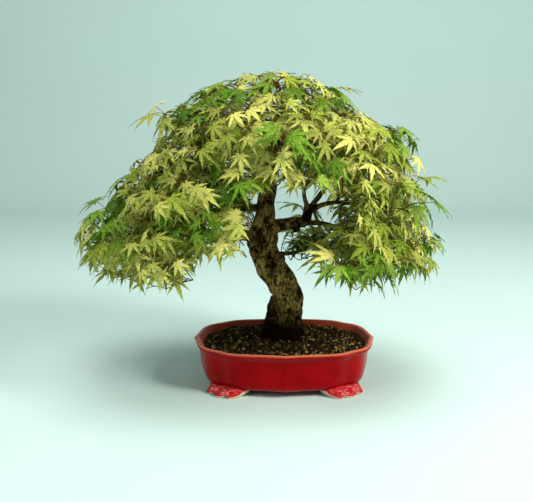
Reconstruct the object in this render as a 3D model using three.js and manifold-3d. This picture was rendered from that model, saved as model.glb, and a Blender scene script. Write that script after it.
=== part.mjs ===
// A Japanese maple grown as a bonsai in a lobed, glazed pot. Millimetres, +Z up.
// The origin is on the surface that the feet rest on, under the middle of the crown's outline.
import * as THREE from "three";
import { LoftGeometry } from "three/addons/geometries/LoftGeometry.js";
import { mergeVertices } from "three/addons/utils/BufferGeometryUtils.js";
import Module from "manifold-3d";

const wasm = await Module();
wasm.setup();

// Place of the pot's middle: the crown reaches further to the left than to the right.
const POT_X = 37;
const POT_Y = -18;

// Pot: its outline, section and drain holes
const POT_HALF_LENGTH = 126;
const POT_HALF_WIDTH = 93.5;
const POT_HEIGHT = 66;
const POT_UNDERSIDE = 8;
const POT_FLOOR = 15;
const POT_SQUARENESS = 3.1;
const POT_SEGMENTS = 48;
const CUSP_HEIGHT = 4.8;
const CUSP_HALF_WIDTH = 40;
const DENT_DEPTH = 4.2;
const DENT_ANGLE = 0.65;
const DENT_SPREAD = 0.12;
const DRAIN_X = 52;
const DRAIN_RADIUS = 9;

// Feet: the plan angles that the first one spans, its lobes and its section
const FOOT_FROM = 0.4;
const FOOT_TO = 0.93;
const FOOT_LOBES = 3;
const FOOT_STEPS = 9;
const FOOT_INSET = 26;
const FOOT_TOP_INSET = 14;
const FOOT_TOP_Z = 12.5;
const FOOT_EDGE_INSET = 11;
const FOOT_EDGE_Z = 3;
const FOOT_FLARE = 4;
const FOOT_CORNER_FLARE = 8;
const FOOT_NOTCH = 2.4;
const FOOT_NOTCH_REACH = 0.6;
const FOOT_END_SHARE = 0.2;
const FOOT_END_LIFT = 5;
const FOOT_END_DRAW = 4;

// Drain screens
const SCREEN_PITCH = 9.5;
const SCREEN_BAR = 2.4;
const SCREEN_THICKNESS = 1;

// Soil
const GAP = 0.35;
const SOIL_EDGE_Z = 57;
const SOIL_MOUND = 8;
const SOIL_MOUND_SPREAD = 75;
const SOIL_GRAIN = 1.4;
const SOIL_RING_INSETS = [12.9, 27, 45, 64];

// Wood
const TRUNK_X = -1;
const TRUNK_Y = 17;
const ROOT_RADIUS = 30.5;
const ROOT_BOTTOM = 36;
const BARK_RELIEF = 0.05;
const TWIG_BASE_RADIUS = 2.1;
const TWIG_TIP_RADIUS = 1.35;
const TWIG_NECK = 9;
const TRUNK_SIDES = 12;
const LEADER_SIDES = 7;
const BRANCH_SIDES = 5;
const TWIG_SIDES = 3;

// Shoots: a stem with two pairs of leaves
const STEM_RADIUS = 1.3;
const FIRST_NODE = 14;
const SECOND_NODE = 12;
const STALK_LENGTH = 18;
const STALK_HALF_WIDTH = 0.9;
const LEAF_LENGTH = 41;
const LEAF_THICKNESS = 0.8;
const NOTCH_SHARE = 0.35;
const LOBE_DROOP = 0.14;
const FRONT_LEAN = 0.35;

// Placing of shoots and leaves
const SHOOT_SEED = 1000;
const PAD_SEED_STEP = 97;
const SHOOT_SEED_STEP = 13;
const LEAF_SEED = 5000;
const LEAF_SEED_STEP = 31;
const TRIES = 80;
const GOLDEN_ANGLE = 2.399963;
const CROWN_AXIS = [-15, 15];
const LOBE_HALF_WIDTH = 4.2;
const TIP_HALF_WIDTH = 2.2;
const STALK_ROOM = 1.5;
const STALK_FREE_FROM = 8;
const STALK_TWIST_COSINE = 0.3;
const WOOD_SPACING = 4;
const LEAF_SPACING = 6;
const STEM_TO_WOOD = 4;
const STEM_TO_STEM = 6;
const TWIG_TO_STEM = 2;
const LEAF_TO_WOOD = 1;
const LEAF_TO_LEAF = 0.5;

const redGlaze = new THREE.MeshStandardMaterial({ color: 0x8f0f10, roughness: 0.22, metalness: 0 });
const soilGrit = new THREE.MeshStandardMaterial({ color: 0x3a2c1e, roughness: 0.95, metalness: 0 });
const bark = new THREE.MeshStandardMaterial({ color: 0x6b6147, roughness: 0.9, metalness: 0 });
const leafLight = new THREE.MeshStandardMaterial({ color: 0xb3b872, roughness: 0.6, metalness: 0 });
const leafGreen = new THREE.MeshStandardMaterial({ color: 0x86a04a, roughness: 0.6, metalness: 0 });
const screenPlastic = new THREE.MeshStandardMaterial({ color: 0x20221f, roughness: 0.7, metalness: 0 });

// The tree's limbs as points x, y, z and radius, from the middle of the pot's footprint. Each limb starts
// inside the one that carries it.
const LIMBS = {
  trunk: [
    [TRUNK_X, TRUNK_Y, ROOT_BOTTOM, ROOT_RADIUS],
    [TRUNK_X, TRUNK_Y, 64, ROOT_RADIUS],
    [TRUNK_X, TRUNK_Y, 76, 28],
    [-1, 17, 91, 26],
    [2, 17, 107, 25],
    [6, 17, 121, 22],
    [2, 17, 134, 20.5],
    [-5, 17, 149, 21.5],
    [-17, 17, 165, 21.5],
    [-27, 17, 181, 20.5],
    [-32, 17, 197, 20],
    [-31, 16, 213, 21.5],
    [-29, 14, 229, 16.5],
    [-26, 8, 245, 10.5],
    [-23, 6, 266, 6],
  ],
  leader: [
    [-30, 17, 220, 16],
    [-27, 24, 246, 13.5],
    [-25, 27, 264, 12.5],
    [-21, 28, 286, 11],
    [-19, 27, 307, 9.5],
    [-18, 24, 328, 8],
    [-12, 22, 350, 6.2],
    [-4, 20, 374, 4.6],
    [3, 18, 398, 3],
  ],
  knobLow: [
    [0, 17, 104, 14],
    [-16, 9, 106, 11.5],
    [-23, 6, 107, 7],
  ],
  knobHigh: [
    [-22, 17, 176, 14],
    [-4, 4, 181, 8],
    [-1, 2, 182, 5],
  ],
  scarLeft: [
    [-30, 17, 206, 14],
    [-48, 6, 201, 8],
    [-52, 4, 200, 5],
  ],
  left: [
    [-32, 16, 208, 11],
    [-55, 12, 213, 8],
    [-89, 6, 212, 6],
    [-111, 0, 215, 5],
    [-136, -6, 217, 4.2],
    [-170, -12, 223, 3.2],
    [-200, -17, 226, 2.3],
  ],
  leftFront: [
    [-111, 0, 215, 4],
    [-135, -25, 213, 3.2],
    [-155, -52, 208, 2.7],
    [-168, -72, 202, 2.1],
  ],
  right: [
    [-24, 15, 220, 12],
    [-10, 12, 227, 10],
    [14, 8, 233, 8],
    [28, 5, 234, 7.5],
    [33, 3, 247, 7],
    [33, 2, 259, 5.5],
  ],
  rightStub: [
    [14, 8, 232, 6.5],
    [18, 4, 219, 5.2],
  ],
  rightFront: [
    [33, 2, 254, 4.5],
    [27, -8, 276, 3.6],
    [32, -30, 298, 2.8],
    [44, -58, 312, 2.2],
  ],
  rightTip: [
    [33, 2, 252, 5],
    [62, -5, 262, 4],
    [98, -16, 266, 3],
    [122, -24, 264, 2.2],
  ],
  rightHigh: [
    [33, 2, 250, 5],
    [61, 8, 286, 4],
    [80, 8, 310, 3.2],
    [92, 4, 332, 2.2],
  ],
  rightLow: [
    [28, 5, 233, 5],
    [65, -12, 232, 4],
    [100, -32, 214, 3],
    [124, -46, 198, 2.2],
  ],
  rightBack: [
    [33, 3, 246, 5],
    [62, 48, 254, 3.8],
    [100, 88, 250, 2.3],
  ],
  backLow: [
    [-26, 20, 184, 7],
    [-12, 40, 180, 5],
    [18, 66, 177, 3.8],
    [42, 88, 181, 3],
    [56, 108, 192, 2.2],
  ],
  middleLeft: [
    [-27, 23, 246, 8],
    [-58, 4, 258, 5.5],
    [-95, -22, 266, 4],
    [-125, -42, 270, 2.5],
  ],
  innerLeft: [
    [-58, 4, 258, 4],
    [-56, -22, 266, 3],
    [-54, -46, 270, 2.2],
  ],
  leftBack: [
    [-27, 24, 252, 8],
    [-62, 52, 246, 5.5],
    [-110, 82, 236, 4],
    [-160, 88, 232, 2.4],
  ],
  upperLeft: [
    [-22, 28, 284, 7],
    [-48, 20, 306, 5],
    [-78, 6, 328, 3.6],
    [-104, -6, 346, 2.3],
  ],
  upperLeftBack: [
    [-21, 28, 294, 7],
    [-45, 62, 310, 4.8],
    [-74, 100, 322, 2.4],
  ],
  upperRightBack: [
    [-18, 25, 318, 6],
    [14, 58, 324, 4.2],
    [48, 96, 322, 2.3],
  ],
  topFront: [
    [-18, 24, 334, 6],
    [-16, -12, 350, 4.6],
    [-8, -50, 354, 3.4],
    [-2, -74, 350, 2.3],
  ],
};

// The crown's pads of foliage: the limb whose tip feeds the pad, the pad's middle, its reach along x, y and
// z, and its number of shoots.
const PADS = [
  { name: "left_tip", limb: "left", middle: [-210, -16, 228], reach: [48, 58, 34], shoots: 4 },
  { name: "left_front", limb: "leftFront", middle: [-168, -88, 204], reach: [50, 46, 28], shoots: 4 },
  { name: "left_back", limb: "leftBack", middle: [-172, 84, 236], reach: [56, 54, 30], shoots: 3 },
  { name: "middle_left", limb: "middleLeft", middle: [-132, -54, 280], reach: [60, 52, 34], shoots: 4 },
  { name: "inner_left", limb: "innerLeft", middle: [-66, -62, 268], reach: [30, 30, 22], shoots: 1 },
  { name: "upper_left", limb: "upperLeft", middle: [-112, -18, 366], reach: [50, 58, 40], shoots: 4 },
  { name: "high_left_back", limb: "upperLeftBack", middle: [-75, 108, 331], reach: [56, 50, 32], shoots: 3 },
  { name: "top", limb: "leader", middle: [2, 10, 405], reach: [64, 58, 26], shoots: 5 },
  { name: "top_front", limb: "topFront", middle: [-6, -86, 356], reach: [60, 44, 28], shoots: 4 },
  { name: "upper_right", limb: "rightHigh", middle: [92, -6, 350], reach: [60, 58, 34], shoots: 4 },
  { name: "high_right_back", limb: "upperRightBack", middle: [54, 104, 330], reach: [56, 50, 32], shoots: 3 },
  { name: "right_front", limb: "rightFront", middle: [54, -84, 308], reach: [42, 38, 24], shoots: 3 },
  { name: "right", limb: "rightTip", middle: [130, -26, 272], reach: [52, 56, 32], shoots: 4 },
  { name: "lower_right", limb: "rightLow", middle: [116, -56, 190], reach: [62, 50, 28], shoots: 4 },
  { name: "right_back", limb: "rightBack", middle: [110, 98, 254], reach: [54, 50, 32], shoots: 3 },
  { name: "back_low", limb: "backLow", middle: [54, 122, 200], reach: [44, 34, 20], shoots: 2 },
];

// Lobes of a leaf: angle from the midrib in radians and length as a share of the middle lobe's.
const LOBES = [
  [-1.45, 0.52],
  [-0.72, 0.85],
  [0, 1],
  [0.72, 0.85],
  [1.45, 0.52],
];

// ---- Solids ----

// A closed geometry as a solid that can be joined and cut.
function solidOf(geometry) {
  const bare = new THREE.BufferGeometry();
  bare.setAttribute("position", geometry.getAttribute("position"));
  bare.setIndex(geometry.getIndex());
  const merged = mergeVertices(bare, 1e-4);
  return new wasm.Manifold(
    new wasm.Mesh({
      numProp: 3,
      vertProperties: new Float32Array(merged.attributes.position.array),
      triVerts: new Uint32Array(merged.index.array),
    }),
  );
}

function meshOf(name, solid, material) {
  const data = solid.getMesh();
  const geometry = new THREE.BufferGeometry();
  geometry.setAttribute("position", new THREE.BufferAttribute(data.vertProperties, 3));
  geometry.setIndex(new THREE.BufferAttribute(data.triVerts, 1));
  geometry.computeVertexNormals();
  const mesh = new THREE.Mesh(geometry, material);
  mesh.name = name;
  return mesh;
}

function joined(solids) {
  return solids.reduce((whole, next) => whole.add(next));
}

// A cylinder that stands along Z from z0 to z1.
function uprightCylinder(radius, z0, z1, x, y, sides) {
  const geometry = new THREE.CylinderGeometry(radius, radius, z1 - z0, sides);
  geometry.rotateX(Math.PI / 2);
  geometry.translate(x, y, (z0 + z1) / 2);
  return solidOf(geometry);
}

// Side of a limb that the first corner of each of its rings lies towards.
const LIMB_SIDE = new THREE.Vector3(0.2, 0.9, 0.4);

// A round solid along a row of points x, y, z and radius, with the radius rising and falling round each
// ring by a share given as relief.
function limbSolid(points, sides, relief = 0) {
  const places = points.map(([x, y, z]) => new THREE.Vector3(x, y, z));
  let across = LIMB_SIDE;
  const sections = points.map(([, , z, radius], i) => {
    const before = places[Math.max(i - 1, 0)];
    const after = places[Math.min(i + 1, places.length - 1)];
    const along = after.clone().sub(before).normalize();
    across = across.clone().addScaledVector(along, -across.dot(along)).normalize();
    const other = along.clone().cross(across);
    return Array.from({ length: sides }, (_, k) => {
      const turn = (2 * Math.PI * k) / sides;
      const ridge = Math.sin(3 * turn + z / 17) + 0.6 * Math.sin(5 * turn - z / 11);
      const r = radius * (1 + relief * ridge);
      return places[i]
        .clone()
        .addScaledVector(across, r * Math.cos(turn))
        .addScaledVector(other, r * Math.sin(turn));
    });
  });
  return solidOf(new LoftGeometry(sections, { capStart: true, capEnd: true }));
}

// Repeatable random numbers from 0 up to 1.
function randomSource(seed) {
  let state = seed;
  return () => {
    state = (state * 16807) % 2147483647;
    return state / 2147483647;
  };
}

// ---- Pot ----

// Distance of the pot's outline from its upright axis at a plan angle, drawn in by an inset: an oblong with
// full corners, a small pointed lobe at the middle of each side and a soft dent at each corner.
function potRadius(angle, inset) {
  const c = Math.abs(Math.cos(angle));
  const s = Math.abs(Math.sin(angle));
  const lengthwise = (c / (POT_HALF_LENGTH - inset)) ** POT_SQUARENESS;
  const widthwise = (s / (POT_HALF_WIDTH - inset)) ** POT_SQUARENESS;
  const oblong = (lengthwise + widthwise) ** (-1 / POT_SQUARENESS);
  const fromMiddle = Math.min(c, s) * oblong;
  const cusp = CUSP_HEIGHT * Math.max(0, 1 - fromMiddle / CUSP_HALF_WIDTH) ** 2;
  const fromCorner = (Math.atan2(s, c) - DENT_ANGLE) / DENT_SPREAD;
  const dent = DENT_DEPTH * Math.exp(-fromCorner * fromCorner);
  return oblong + (cusp - dent) * Math.min(1, (POT_HALF_WIDTH - inset) / (POT_HALF_WIDTH / 2));
}

function potPoint(angle, inset, z) {
  const radius = potRadius(angle, inset);
  return new THREE.Vector3(radius * Math.cos(angle), radius * Math.sin(angle), z);
}

// A solid whose section, given as rows of inset and height from the bottom up, is carried round the pot's
// outline. Its bottom and top close on the upright axis.
function outlineSolid(section, bottom, top, heightAt = (x, y, z) => z) {
  const profile = section.map(([inset, z]) => new THREE.Vector2(POT_HALF_WIDTH - inset, z));
  const closed = [new THREE.Vector2(0, bottom), ...profile, new THREE.Vector2(0, top)];
  const geometry = new THREE.LatheGeometry(closed, POT_SEGMENTS);
  geometry.rotateX(Math.PI / 2);
  const position = geometry.getAttribute("position");
  for (let i = 0; i < position.count; i++) {
    const fromAxis = Math.hypot(position.getX(i), position.getY(i));
    const angle = Math.atan2(position.getY(i), position.getX(i));
    const place = new THREE.Vector3(0, 0, position.getZ(i));
    if (fromAxis > 1e-4) place.copy(potPoint(angle, POT_HALF_WIDTH - fromAxis, place.z));
    position.setXYZ(i, place.x, place.y, heightAt(place.x, place.y, place.z));
  }
  return solidOf(geometry);
}

// The inner wall as rows of inset and height, from the floor's edge up.
const INNER_WALL = [
  [28, POT_FLOOR],
  [17, 30],
  [11.5, 60],
];

function potSolid() {
  const outside = [
    [21, POT_UNDERSIDE],
    [13.4, 12.5],
    [9.8, 25],
    [8, 42],
    [7, 51],
    [5, 56.4],
    [1.8, 59.6],
    [0, 62.8],
    [1.4, POT_HEIGHT],
    [6, POT_HEIGHT - 0.1],
  ];
  const inside = INNER_WALL.toReversed();
  const body = outlineSolid([...outside, ...inside], POT_UNDERSIDE, POT_FLOOR);
  const drains = [-DRAIN_X, DRAIN_X].map((x) =>
    uprightCylinder(DRAIN_RADIUS, POT_UNDERSIDE - 1, POT_FLOOR + 1, x, 0, 16),
  );
  const spans = [
    [FOOT_FROM, FOOT_TO],
    [Math.PI - FOOT_TO, Math.PI - FOOT_FROM],
    [Math.PI + FOOT_FROM, Math.PI + FOOT_TO],
    [2 * Math.PI - FOOT_TO, 2 * Math.PI - FOOT_FROM],
  ];
  const feet = spans.map(([from, to]) => footSolid(from, to));
  return joined([body, ...feet]).subtract(joined(drains));
}

// A cloud foot that wraps a corner: it flares out from the wall to a scalloped edge on the ground, most
// of all at the corner, and its two ends draw in and rise.
function footSolid(from, to) {
  const sections = Array.from({ length: FOOT_STEPS + 1 }, (_, i) => {
    const share = i / FOOT_STEPS;
    const angle = from + (to - from) * share;
    const scallop = Math.abs(Math.sin(Math.PI * FOOT_LOBES * share));
    const end = Math.max(0, 1 - Math.min(share, 1 - share) / FOOT_END_SHARE);
    const notch = FOOT_NOTCH * Math.max(0, 1 - scallop / FOOT_NOTCH_REACH);
    const lift = notch + FOOT_END_LIFT * end * end;
    const corner = FOOT_CORNER_FLARE * Math.sin(Math.PI * share);
    const edge = FOOT_EDGE_INSET - FOOT_FLARE * scallop - corner + FOOT_END_DRAW * end;
    return [
      potPoint(angle, FOOT_INSET, lift),
      potPoint(angle, FOOT_INSET, POT_UNDERSIDE + 2),
      potPoint(angle, FOOT_TOP_INSET, FOOT_TOP_Z - 2 * end),
      potPoint(angle, edge, FOOT_EDGE_Z + lift),
      potPoint(angle, edge + 1, lift),
    ];
  });
  return solidOf(new LoftGeometry(sections, { capStart: true, capEnd: true }));
}

// ---- Drainage ----

// A square grid of flat plastic bars.
function screenSolid(x) {
  const bars = [-1, 0, 1].flatMap((place) => {
    const offset = place * SCREEN_PITCH;
    const length = 2 * SCREEN_PITCH + SCREEN_BAR;
    const lengthwise = new THREE.BoxGeometry(length, SCREEN_BAR, SCREEN_THICKNESS);
    lengthwise.translate(0, offset, 0);
    const across = new THREE.BoxGeometry(SCREEN_BAR, length, SCREEN_THICKNESS);
    across.translate(offset, 0, 0);
    return [lengthwise, across];
  });
  const middle = POT_FLOOR + GAP + SCREEN_THICKNESS / 2;
  return joined(bars.map((bar) => solidOf(bar.translate(x, 0, middle))));
}

// ---- Soil ----

function soilTop(x, y) {
  const fromTrunk = Math.hypot(x - TRUNK_X, y - TRUNK_Y);
  const mound = SOIL_MOUND * Math.exp(-((fromTrunk / SOIL_MOUND_SPREAD) ** 2));
  const grain = SOIL_GRAIN * Math.sin(x * 1.7 + 3 * Math.sin(y * 0.9)) * Math.sin(y * 1.3 + x * 0.4);
  return SOIL_EDGE_Z + mound + grain;
}

function soilSolid() {
  const side = INNER_WALL.slice(0, 2).map(([inset, z]) => [inset + 2 * GAP, z + GAP]);
  const top = SOIL_RING_INSETS.map((inset) => [inset, SOIL_EDGE_Z]);
  const surface = (x, y, z) => (z < SOIL_EDGE_Z ? z : soilTop(x, y));
  const body = outlineSolid([...side, ...top], POT_FLOOR + GAP, SOIL_EDGE_Z, surface);
  const holeRadius = ROOT_RADIUS * (1 + 1.6 * BARK_RELIEF) + 2 * GAP;
  const hole = uprightCylinder(holeRadius, ROOT_BOTTOM - GAP, POT_HEIGHT + 20, TRUNK_X, TRUNK_Y, 24);
  const pockets = [-DRAIN_X, DRAIN_X].map((x) => {
    const height = SCREEN_THICKNESS + 2 * GAP;
    const width = 2 * SCREEN_PITCH + SCREEN_BAR + 2 * GAP;
    const box = new THREE.BoxGeometry(width, width, 2 * height);
    box.translate(x, 0, POT_FLOOR);
    return solidOf(box);
  });
  return body.subtract(joined([hole, ...pockets]));
}

// ---- Room for shoots and leaves ----

// Balls along a row of points x, y, z and radius. They stand for wood and leaves when room is looked for.
function ballsAlong(points, spacing) {
  const balls = [];
  for (let i = 1; i < points.length; i++) {
    const [from, to] = [points[i - 1], points[i]];
    const length = Math.hypot(to[0] - from[0], to[1] - from[1], to[2] - from[2]);
    const count = Math.ceil(length / spacing);
    for (let k = 0; k <= count; k++) {
      balls.push(from.map((value, axis) => value + ((to[axis] - value) * k) / count));
    }
  }
  return balls;
}

function isClear(balls, others, room) {
  for (const a of balls) {
    for (const b of others) {
      const reach = a[3] + b[3] + room;
      const squared = (a[0] - b[0]) ** 2 + (a[1] - b[1]) ** 2 + (a[2] - b[2]) ** 2;
      if (squared < reach * reach) return false;
    }
  }
  return true;
}

// ---- Leaves ----

// The place of a point on a leaf's blade, from right, forward and up distances.
function onBlade(leaf, right, forward, up) {
  return leaf.centre
    .clone()
    .addScaledVector(leaf.right, right)
    .addScaledVector(leaf.forward, forward)
    .addScaledVector(leaf.up, up);
}

function lobeTip(leaf, angle, share) {
  const length = share * leaf.length;
  return onBlade(leaf, Math.sin(angle) * length, Math.cos(angle) * length, -LOBE_DROOP * length);
}

// A leaf on its stalk, from the stalk's direction and length, the side that it turns to the light, and how
// far the blade droops from the stalk.
function makeLeaf(node, direction, light, stalk, droop, length) {
  const right = direction.clone().cross(light).normalize();
  const above = right.clone().cross(direction);
  const centre = node.clone().addScaledVector(direction, stalk);
  const forward = direction.clone().multiplyScalar(Math.cos(droop)).addScaledVector(above, -Math.sin(droop));
  const up = above.clone().multiplyScalar(Math.cos(droop)).addScaledVector(direction, Math.sin(droop));
  const leaf = { centre, right, forward, up, length };
  const free = node.clone().addScaledVector(direction, STALK_FREE_FROM);
  leaf.balls = ballsAlong([[...free, STALK_ROOM], [...centre, STALK_ROOM]], WOOD_SPACING);
  for (const [angle, share] of LOBES) {
    const rib = [[...centre, LOBE_HALF_WIDTH], [...lobeTip(leaf, angle, share), TIP_HALF_WIDTH]];
    leaf.balls.push(...ballsAlong(rib, LEAF_SPACING));
  }
  return leaf;
}

// The faces of a blade and its stalk, which grows out of four corners of the stem: the left and right ones
// above, then those below. Both sides are split alike, each lobe folded along its rib.
function leafTriangles(leaf, above, below) {
  const { length } = leaf;
  const rim = [onBlade(leaf, STALK_HALF_WIDTH, -1.2, 0)];
  LOBES.toReversed().forEach(([angle, share], i, lobes) => {
    rim.push(lobeTip(leaf, angle, share));
    if (i === lobes.length - 1) return;
    const [nextAngle, nextShare] = lobes[i + 1];
    const between = (angle + nextAngle) / 2;
    const depth = NOTCH_SHARE * length * Math.min(share, nextShare);
    rim.push(onBlade(leaf, Math.sin(between) * depth, Math.cos(between) * depth, 0.02 * length));
  });
  rim.push(onBlade(leaf, -STALK_HALF_WIDTH, -1.2, 0));
  const blade = [leaf.centre, ...rim];
  const top = [...blade, ...above];
  const under = [...blade.map((place) => place.clone().addScaledVector(leaf.up, -LEAF_THICKNESS)), ...below];
  const last = rim.length;
  const triangles = [];
  const addFace = (i, j, k) => triangles.push([top[i], top[j], top[k]], [under[i], under[k], under[j]]);
  for (let i = 1; i < last; i++) addFace(0, i, i + 1);
  addFace(0, last, 1);
  addFace(1, last, last + 1);
  addFace(1, last + 1, last + 2);
  const addEdge = (i, j) => triangles.push([top[i], under[i], top[j]], [top[j], under[i], under[j]]);
  for (let i = 1; i <= last; i++) addEdge(i, i + 1);
  addEdge(last + 2, 1);
  return triangles;
}

// ---- Crown ----

const UP = new THREE.Vector3(0, 0, 1);

// Direction from the crown's upright axis out through a place.
function outwardFrom(place) {
  return new THREE.Vector3(place.x - CROWN_AXIS[0], place.y - CROWN_AXIS[1], 0).normalize();
}

// The shoots of every pad, each with its twig, stem and leaves, placed by a seeded rule so that nothing
// crosses the wood or another shoot.
function growCrown() {
  const wood = Object.values(LIMBS).flatMap((points) => ballsAlong(points, WOOD_SPACING));
  const shoots = [];
  PADS.forEach((pad, padIndex) => {
    for (let index = 0; index < pad.shoots; index++) {
      const random = randomSource(SHOOT_SEED + PAD_SEED_STEP * padIndex + SHOOT_SEED_STEP * index);
      const shoot = placeShoot(pad, index, random, wood, shoots);
      if (!shoot) continue;
      shoot.name = `shoot_${pad.name}_${index + 1}`;
      shoots.push(shoot);
      wood.push(...ballsAlong(shoot.twig, WOOD_SPACING));
    }
  });
  const leaves = [];
  const others = [...wood, ...shoots.flatMap((shoot) => shoot.balls)];
  shoots.forEach((shoot, index) => {
    const random = randomSource(LEAF_SEED + LEAF_SEED_STEP * index);
    for (const [pair, side] of [[0, 1], [0, -1], [1, 1], [1, -1]]) {
      const leaf = placeLeaf(shoot, pair, side, random, others, leaves);
      if (!leaf) continue;
      shoot.leaves.push({ ...leaf, pair, side });
      leaves.push(leaf);
    }
  });
  return shoots;
}

// A twig from its limb's last stretch to a place in the pad, and the stem that grows on from it.
function placeShoot(pad, index, random, wood, shoots) {
  const [before, host] = LIMBS[pad.limb].slice(-2).map(([x, y, z]) => new THREE.Vector3(x, y, z));
  const start = before.clone().lerp(host, (index + 1) / pad.shoots);
  for (let attempt = 0; attempt < TRIES; attempt++) {
    const share = Math.sqrt((index + 0.25 + 0.5 * random()) / pad.shoots);
    const turn = index * GOLDEN_ANGLE + 0.8 * (random() - 0.5) + pad.middle[0];
    const base = new THREE.Vector3(
      pad.middle[0] + pad.reach[0] * share * Math.cos(turn),
      pad.middle[1] + pad.reach[1] * share * Math.sin(turn),
      pad.middle[2] + pad.reach[2] * (0.6 - share * share),
    );
    const heading = new THREE.Vector3(Math.cos(turn), Math.sin(turn), 0.5 + 0.5 * random());
    heading.addScaledVector(outwardFrom(base), 0.7).normalize();
    const level = heading.clone().cross(UP).normalize();
    const rise = level.clone().cross(heading).normalize();
    const neck = base.clone().addScaledVector(heading, -TWIG_NECK);
    const twig = [
      [...start, TWIG_BASE_RADIUS],
      [...neck, TWIG_TIP_RADIUS],
      [...base, TWIG_TIP_RADIUS],
    ];
    const lower = base.clone().addScaledVector(heading, GAP);
    const first = base.clone().addScaledVector(heading, FIRST_NODE);
    const bend = heading.clone().addScaledVector(UP, -0.35).normalize();
    const second = first.clone().addScaledVector(bend, SECOND_NODE);
    const aboveTwig = base.clone().addScaledVector(heading, WOOD_SPACING);
    const stem = [aboveTwig, first, second].map((place) => [...place, STEM_RADIUS]);
    const balls = ballsAlong(stem, WOOD_SPACING);
    const stems = shoots.flatMap((other) => other.balls);
    const stemHasRoom = isClear(balls, wood, STEM_TO_WOOD) && isClear(balls, stems, STEM_TO_STEM);
    if (stemHasRoom && isClear(ballsAlong(twig, WOOD_SPACING), stems, TWIG_TO_STEM)) {
      return { twig, lower, nodes: [first, second], heading, level, rise, balls, leaves: [] };
    }
  }
  return null;
}

// One leaf of a shoot, tried in new directions until it has room.
function placeLeaf(shoot, pair, side, random, others, leaves) {
  const node = shoot.nodes[pair];
  const outward = outwardFrom(node);
  for (let attempt = 0; attempt < TRIES; attempt++) {
    const swing = [0.2, 0.5][pair] + 0.9 * (random() - 0.5);
    const direction = shoot.heading
      .clone()
      .multiplyScalar([0.25, 0.7][pair])
      .addScaledVector(shoot.level, side * Math.cos(swing))
      .addScaledVector(shoot.rise, side * 0.7 * Math.sin(swing))
      .addScaledVector(outward, 0.35)
      .addScaledVector(UP, 0.3 * (random() - 0.6))
      .normalize();
    const light = UP.clone().addScaledVector(outward, 0.3 + 0.5 * random());
    light.x += 0.8 * (random() - 0.5);
    light.y += 0.8 * (random() - 0.5) - FRONT_LEAN;
    const stalk = STALK_LENGTH * (0.8 + 0.6 * random());
    const droop = 0.35 + 0.75 * random();
    const length = LEAF_LENGTH * (0.84 + 0.22 * random());
    const leaf = makeLeaf(node, direction, light, stalk, droop, length);
    const near = leaves.filter((other) => other.centre.distanceTo(leaf.centre) < 2.2 * LEAF_LENGTH);
    const untwisted = -side * leaf.right.dot(shoot.heading) > STALK_TWIST_COSINE;
    const crowded = near.some((other) => !isClear(leaf.balls, other.balls, LEAF_TO_LEAF));
    if (untwisted && !crowded && isClear(leaf.balls, others, LEAF_TO_WOOD)) return leaf;
  }
  return null;
}

// ---- Wood and shoots as solids ----

function treeSolid(shoots) {
  const { trunk, leader, ...branches } = LIMBS;
  return joined([
    limbSolid(trunk, TRUNK_SIDES, BARK_RELIEF),
    limbSolid(leader, LEADER_SIDES, BARK_RELIEF),
    ...Object.values(branches).map((points) => limbSolid(points, BRANCH_SIDES)),
    ...shoots.map((shoot) => limbSolid(shoot.twig, TWIG_SIDES)),
  ]);
}

// A square stem in four spans. A pair of leaves grows out of the two sides of every second span.
function shootSolid({ lower, nodes, heading, level, rise, leaves }) {
  const places = [lower];
  for (const node of nodes) {
    for (const along of [-STALK_HALF_WIDTH, STALK_HALF_WIDTH]) {
      places.push(node.clone().addScaledVector(heading, along));
    }
  }
  const half = STEM_RADIUS * Math.SQRT1_2;
  const corners = [[half, half], [-half, half], [-half, -half], [half, -half]];
  const rings = places.map((place) =>
    corners.map(([across, up]) => place.clone().addScaledVector(level, across).addScaledVector(rise, up)),
  );
  const triangles = [];
  const addQuad = (a, b, c, d) => triangles.push([a, b, c], [a, c, d]);
  for (let span = 0; span + 1 < rings.length; span++) {
    const [near, far] = [rings[span], rings[span + 1]];
    addQuad(near[0], far[0], far[1], near[1]);
    addQuad(near[2], far[2], far[3], near[3]);
    const right = leaves.find((leaf) => 2 * leaf.pair + 1 === span && leaf.side === 1);
    if (right) triangles.push(...leafTriangles(right, [far[0], near[0]], [far[3], near[3]]));
    else addQuad(near[3], far[3], far[0], near[0]);
    const left = leaves.find((leaf) => 2 * leaf.pair + 1 === span && leaf.side === -1);
    if (left) triangles.push(...leafTriangles(left, [near[1], far[1]], [near[2], far[2]]));
    else addQuad(near[1], far[1], far[2], near[2]);
  }
  addQuad(...rings[0]);
  addQuad(...rings.at(-1).toReversed());
  return solidOf(new THREE.BufferGeometry().setFromPoints(triangles.flat()));
}

// ---- Assembly ----

const shoots = growCrown();
const bonsai = new THREE.Group();
bonsai.position.set(POT_X, POT_Y, 0);
bonsai.add(meshOf("pot", potSolid(), redGlaze));
bonsai.add(meshOf("drain_screen_left", screenSolid(-DRAIN_X), screenPlastic));
bonsai.add(meshOf("drain_screen_right", screenSolid(DRAIN_X), screenPlastic));
bonsai.add(meshOf("soil", soilSolid(), soilGrit));
bonsai.add(meshOf("tree", treeSolid(shoots), bark));
shoots.forEach((shoot, i) => {
  bonsai.add(meshOf(shoot.name, shootSolid(shoot), i % 3 === 0 ? leafGreen : leafLight));
});

const part = new THREE.Group();
part.add(bonsai);

export default part;
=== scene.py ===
# The looks of a Japanese maple bonsai in a lobed, glazed pot. Sizes are in millimetres from the middle of the
# pot's footprint until a piece is made, and in metres in the part's frame from then on.
import itertools
import math

import bmesh
import bpy
import numpy as np
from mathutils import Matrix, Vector, kdtree, noise
from mathutils.geometry import delaunay_2d_cdt


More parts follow.
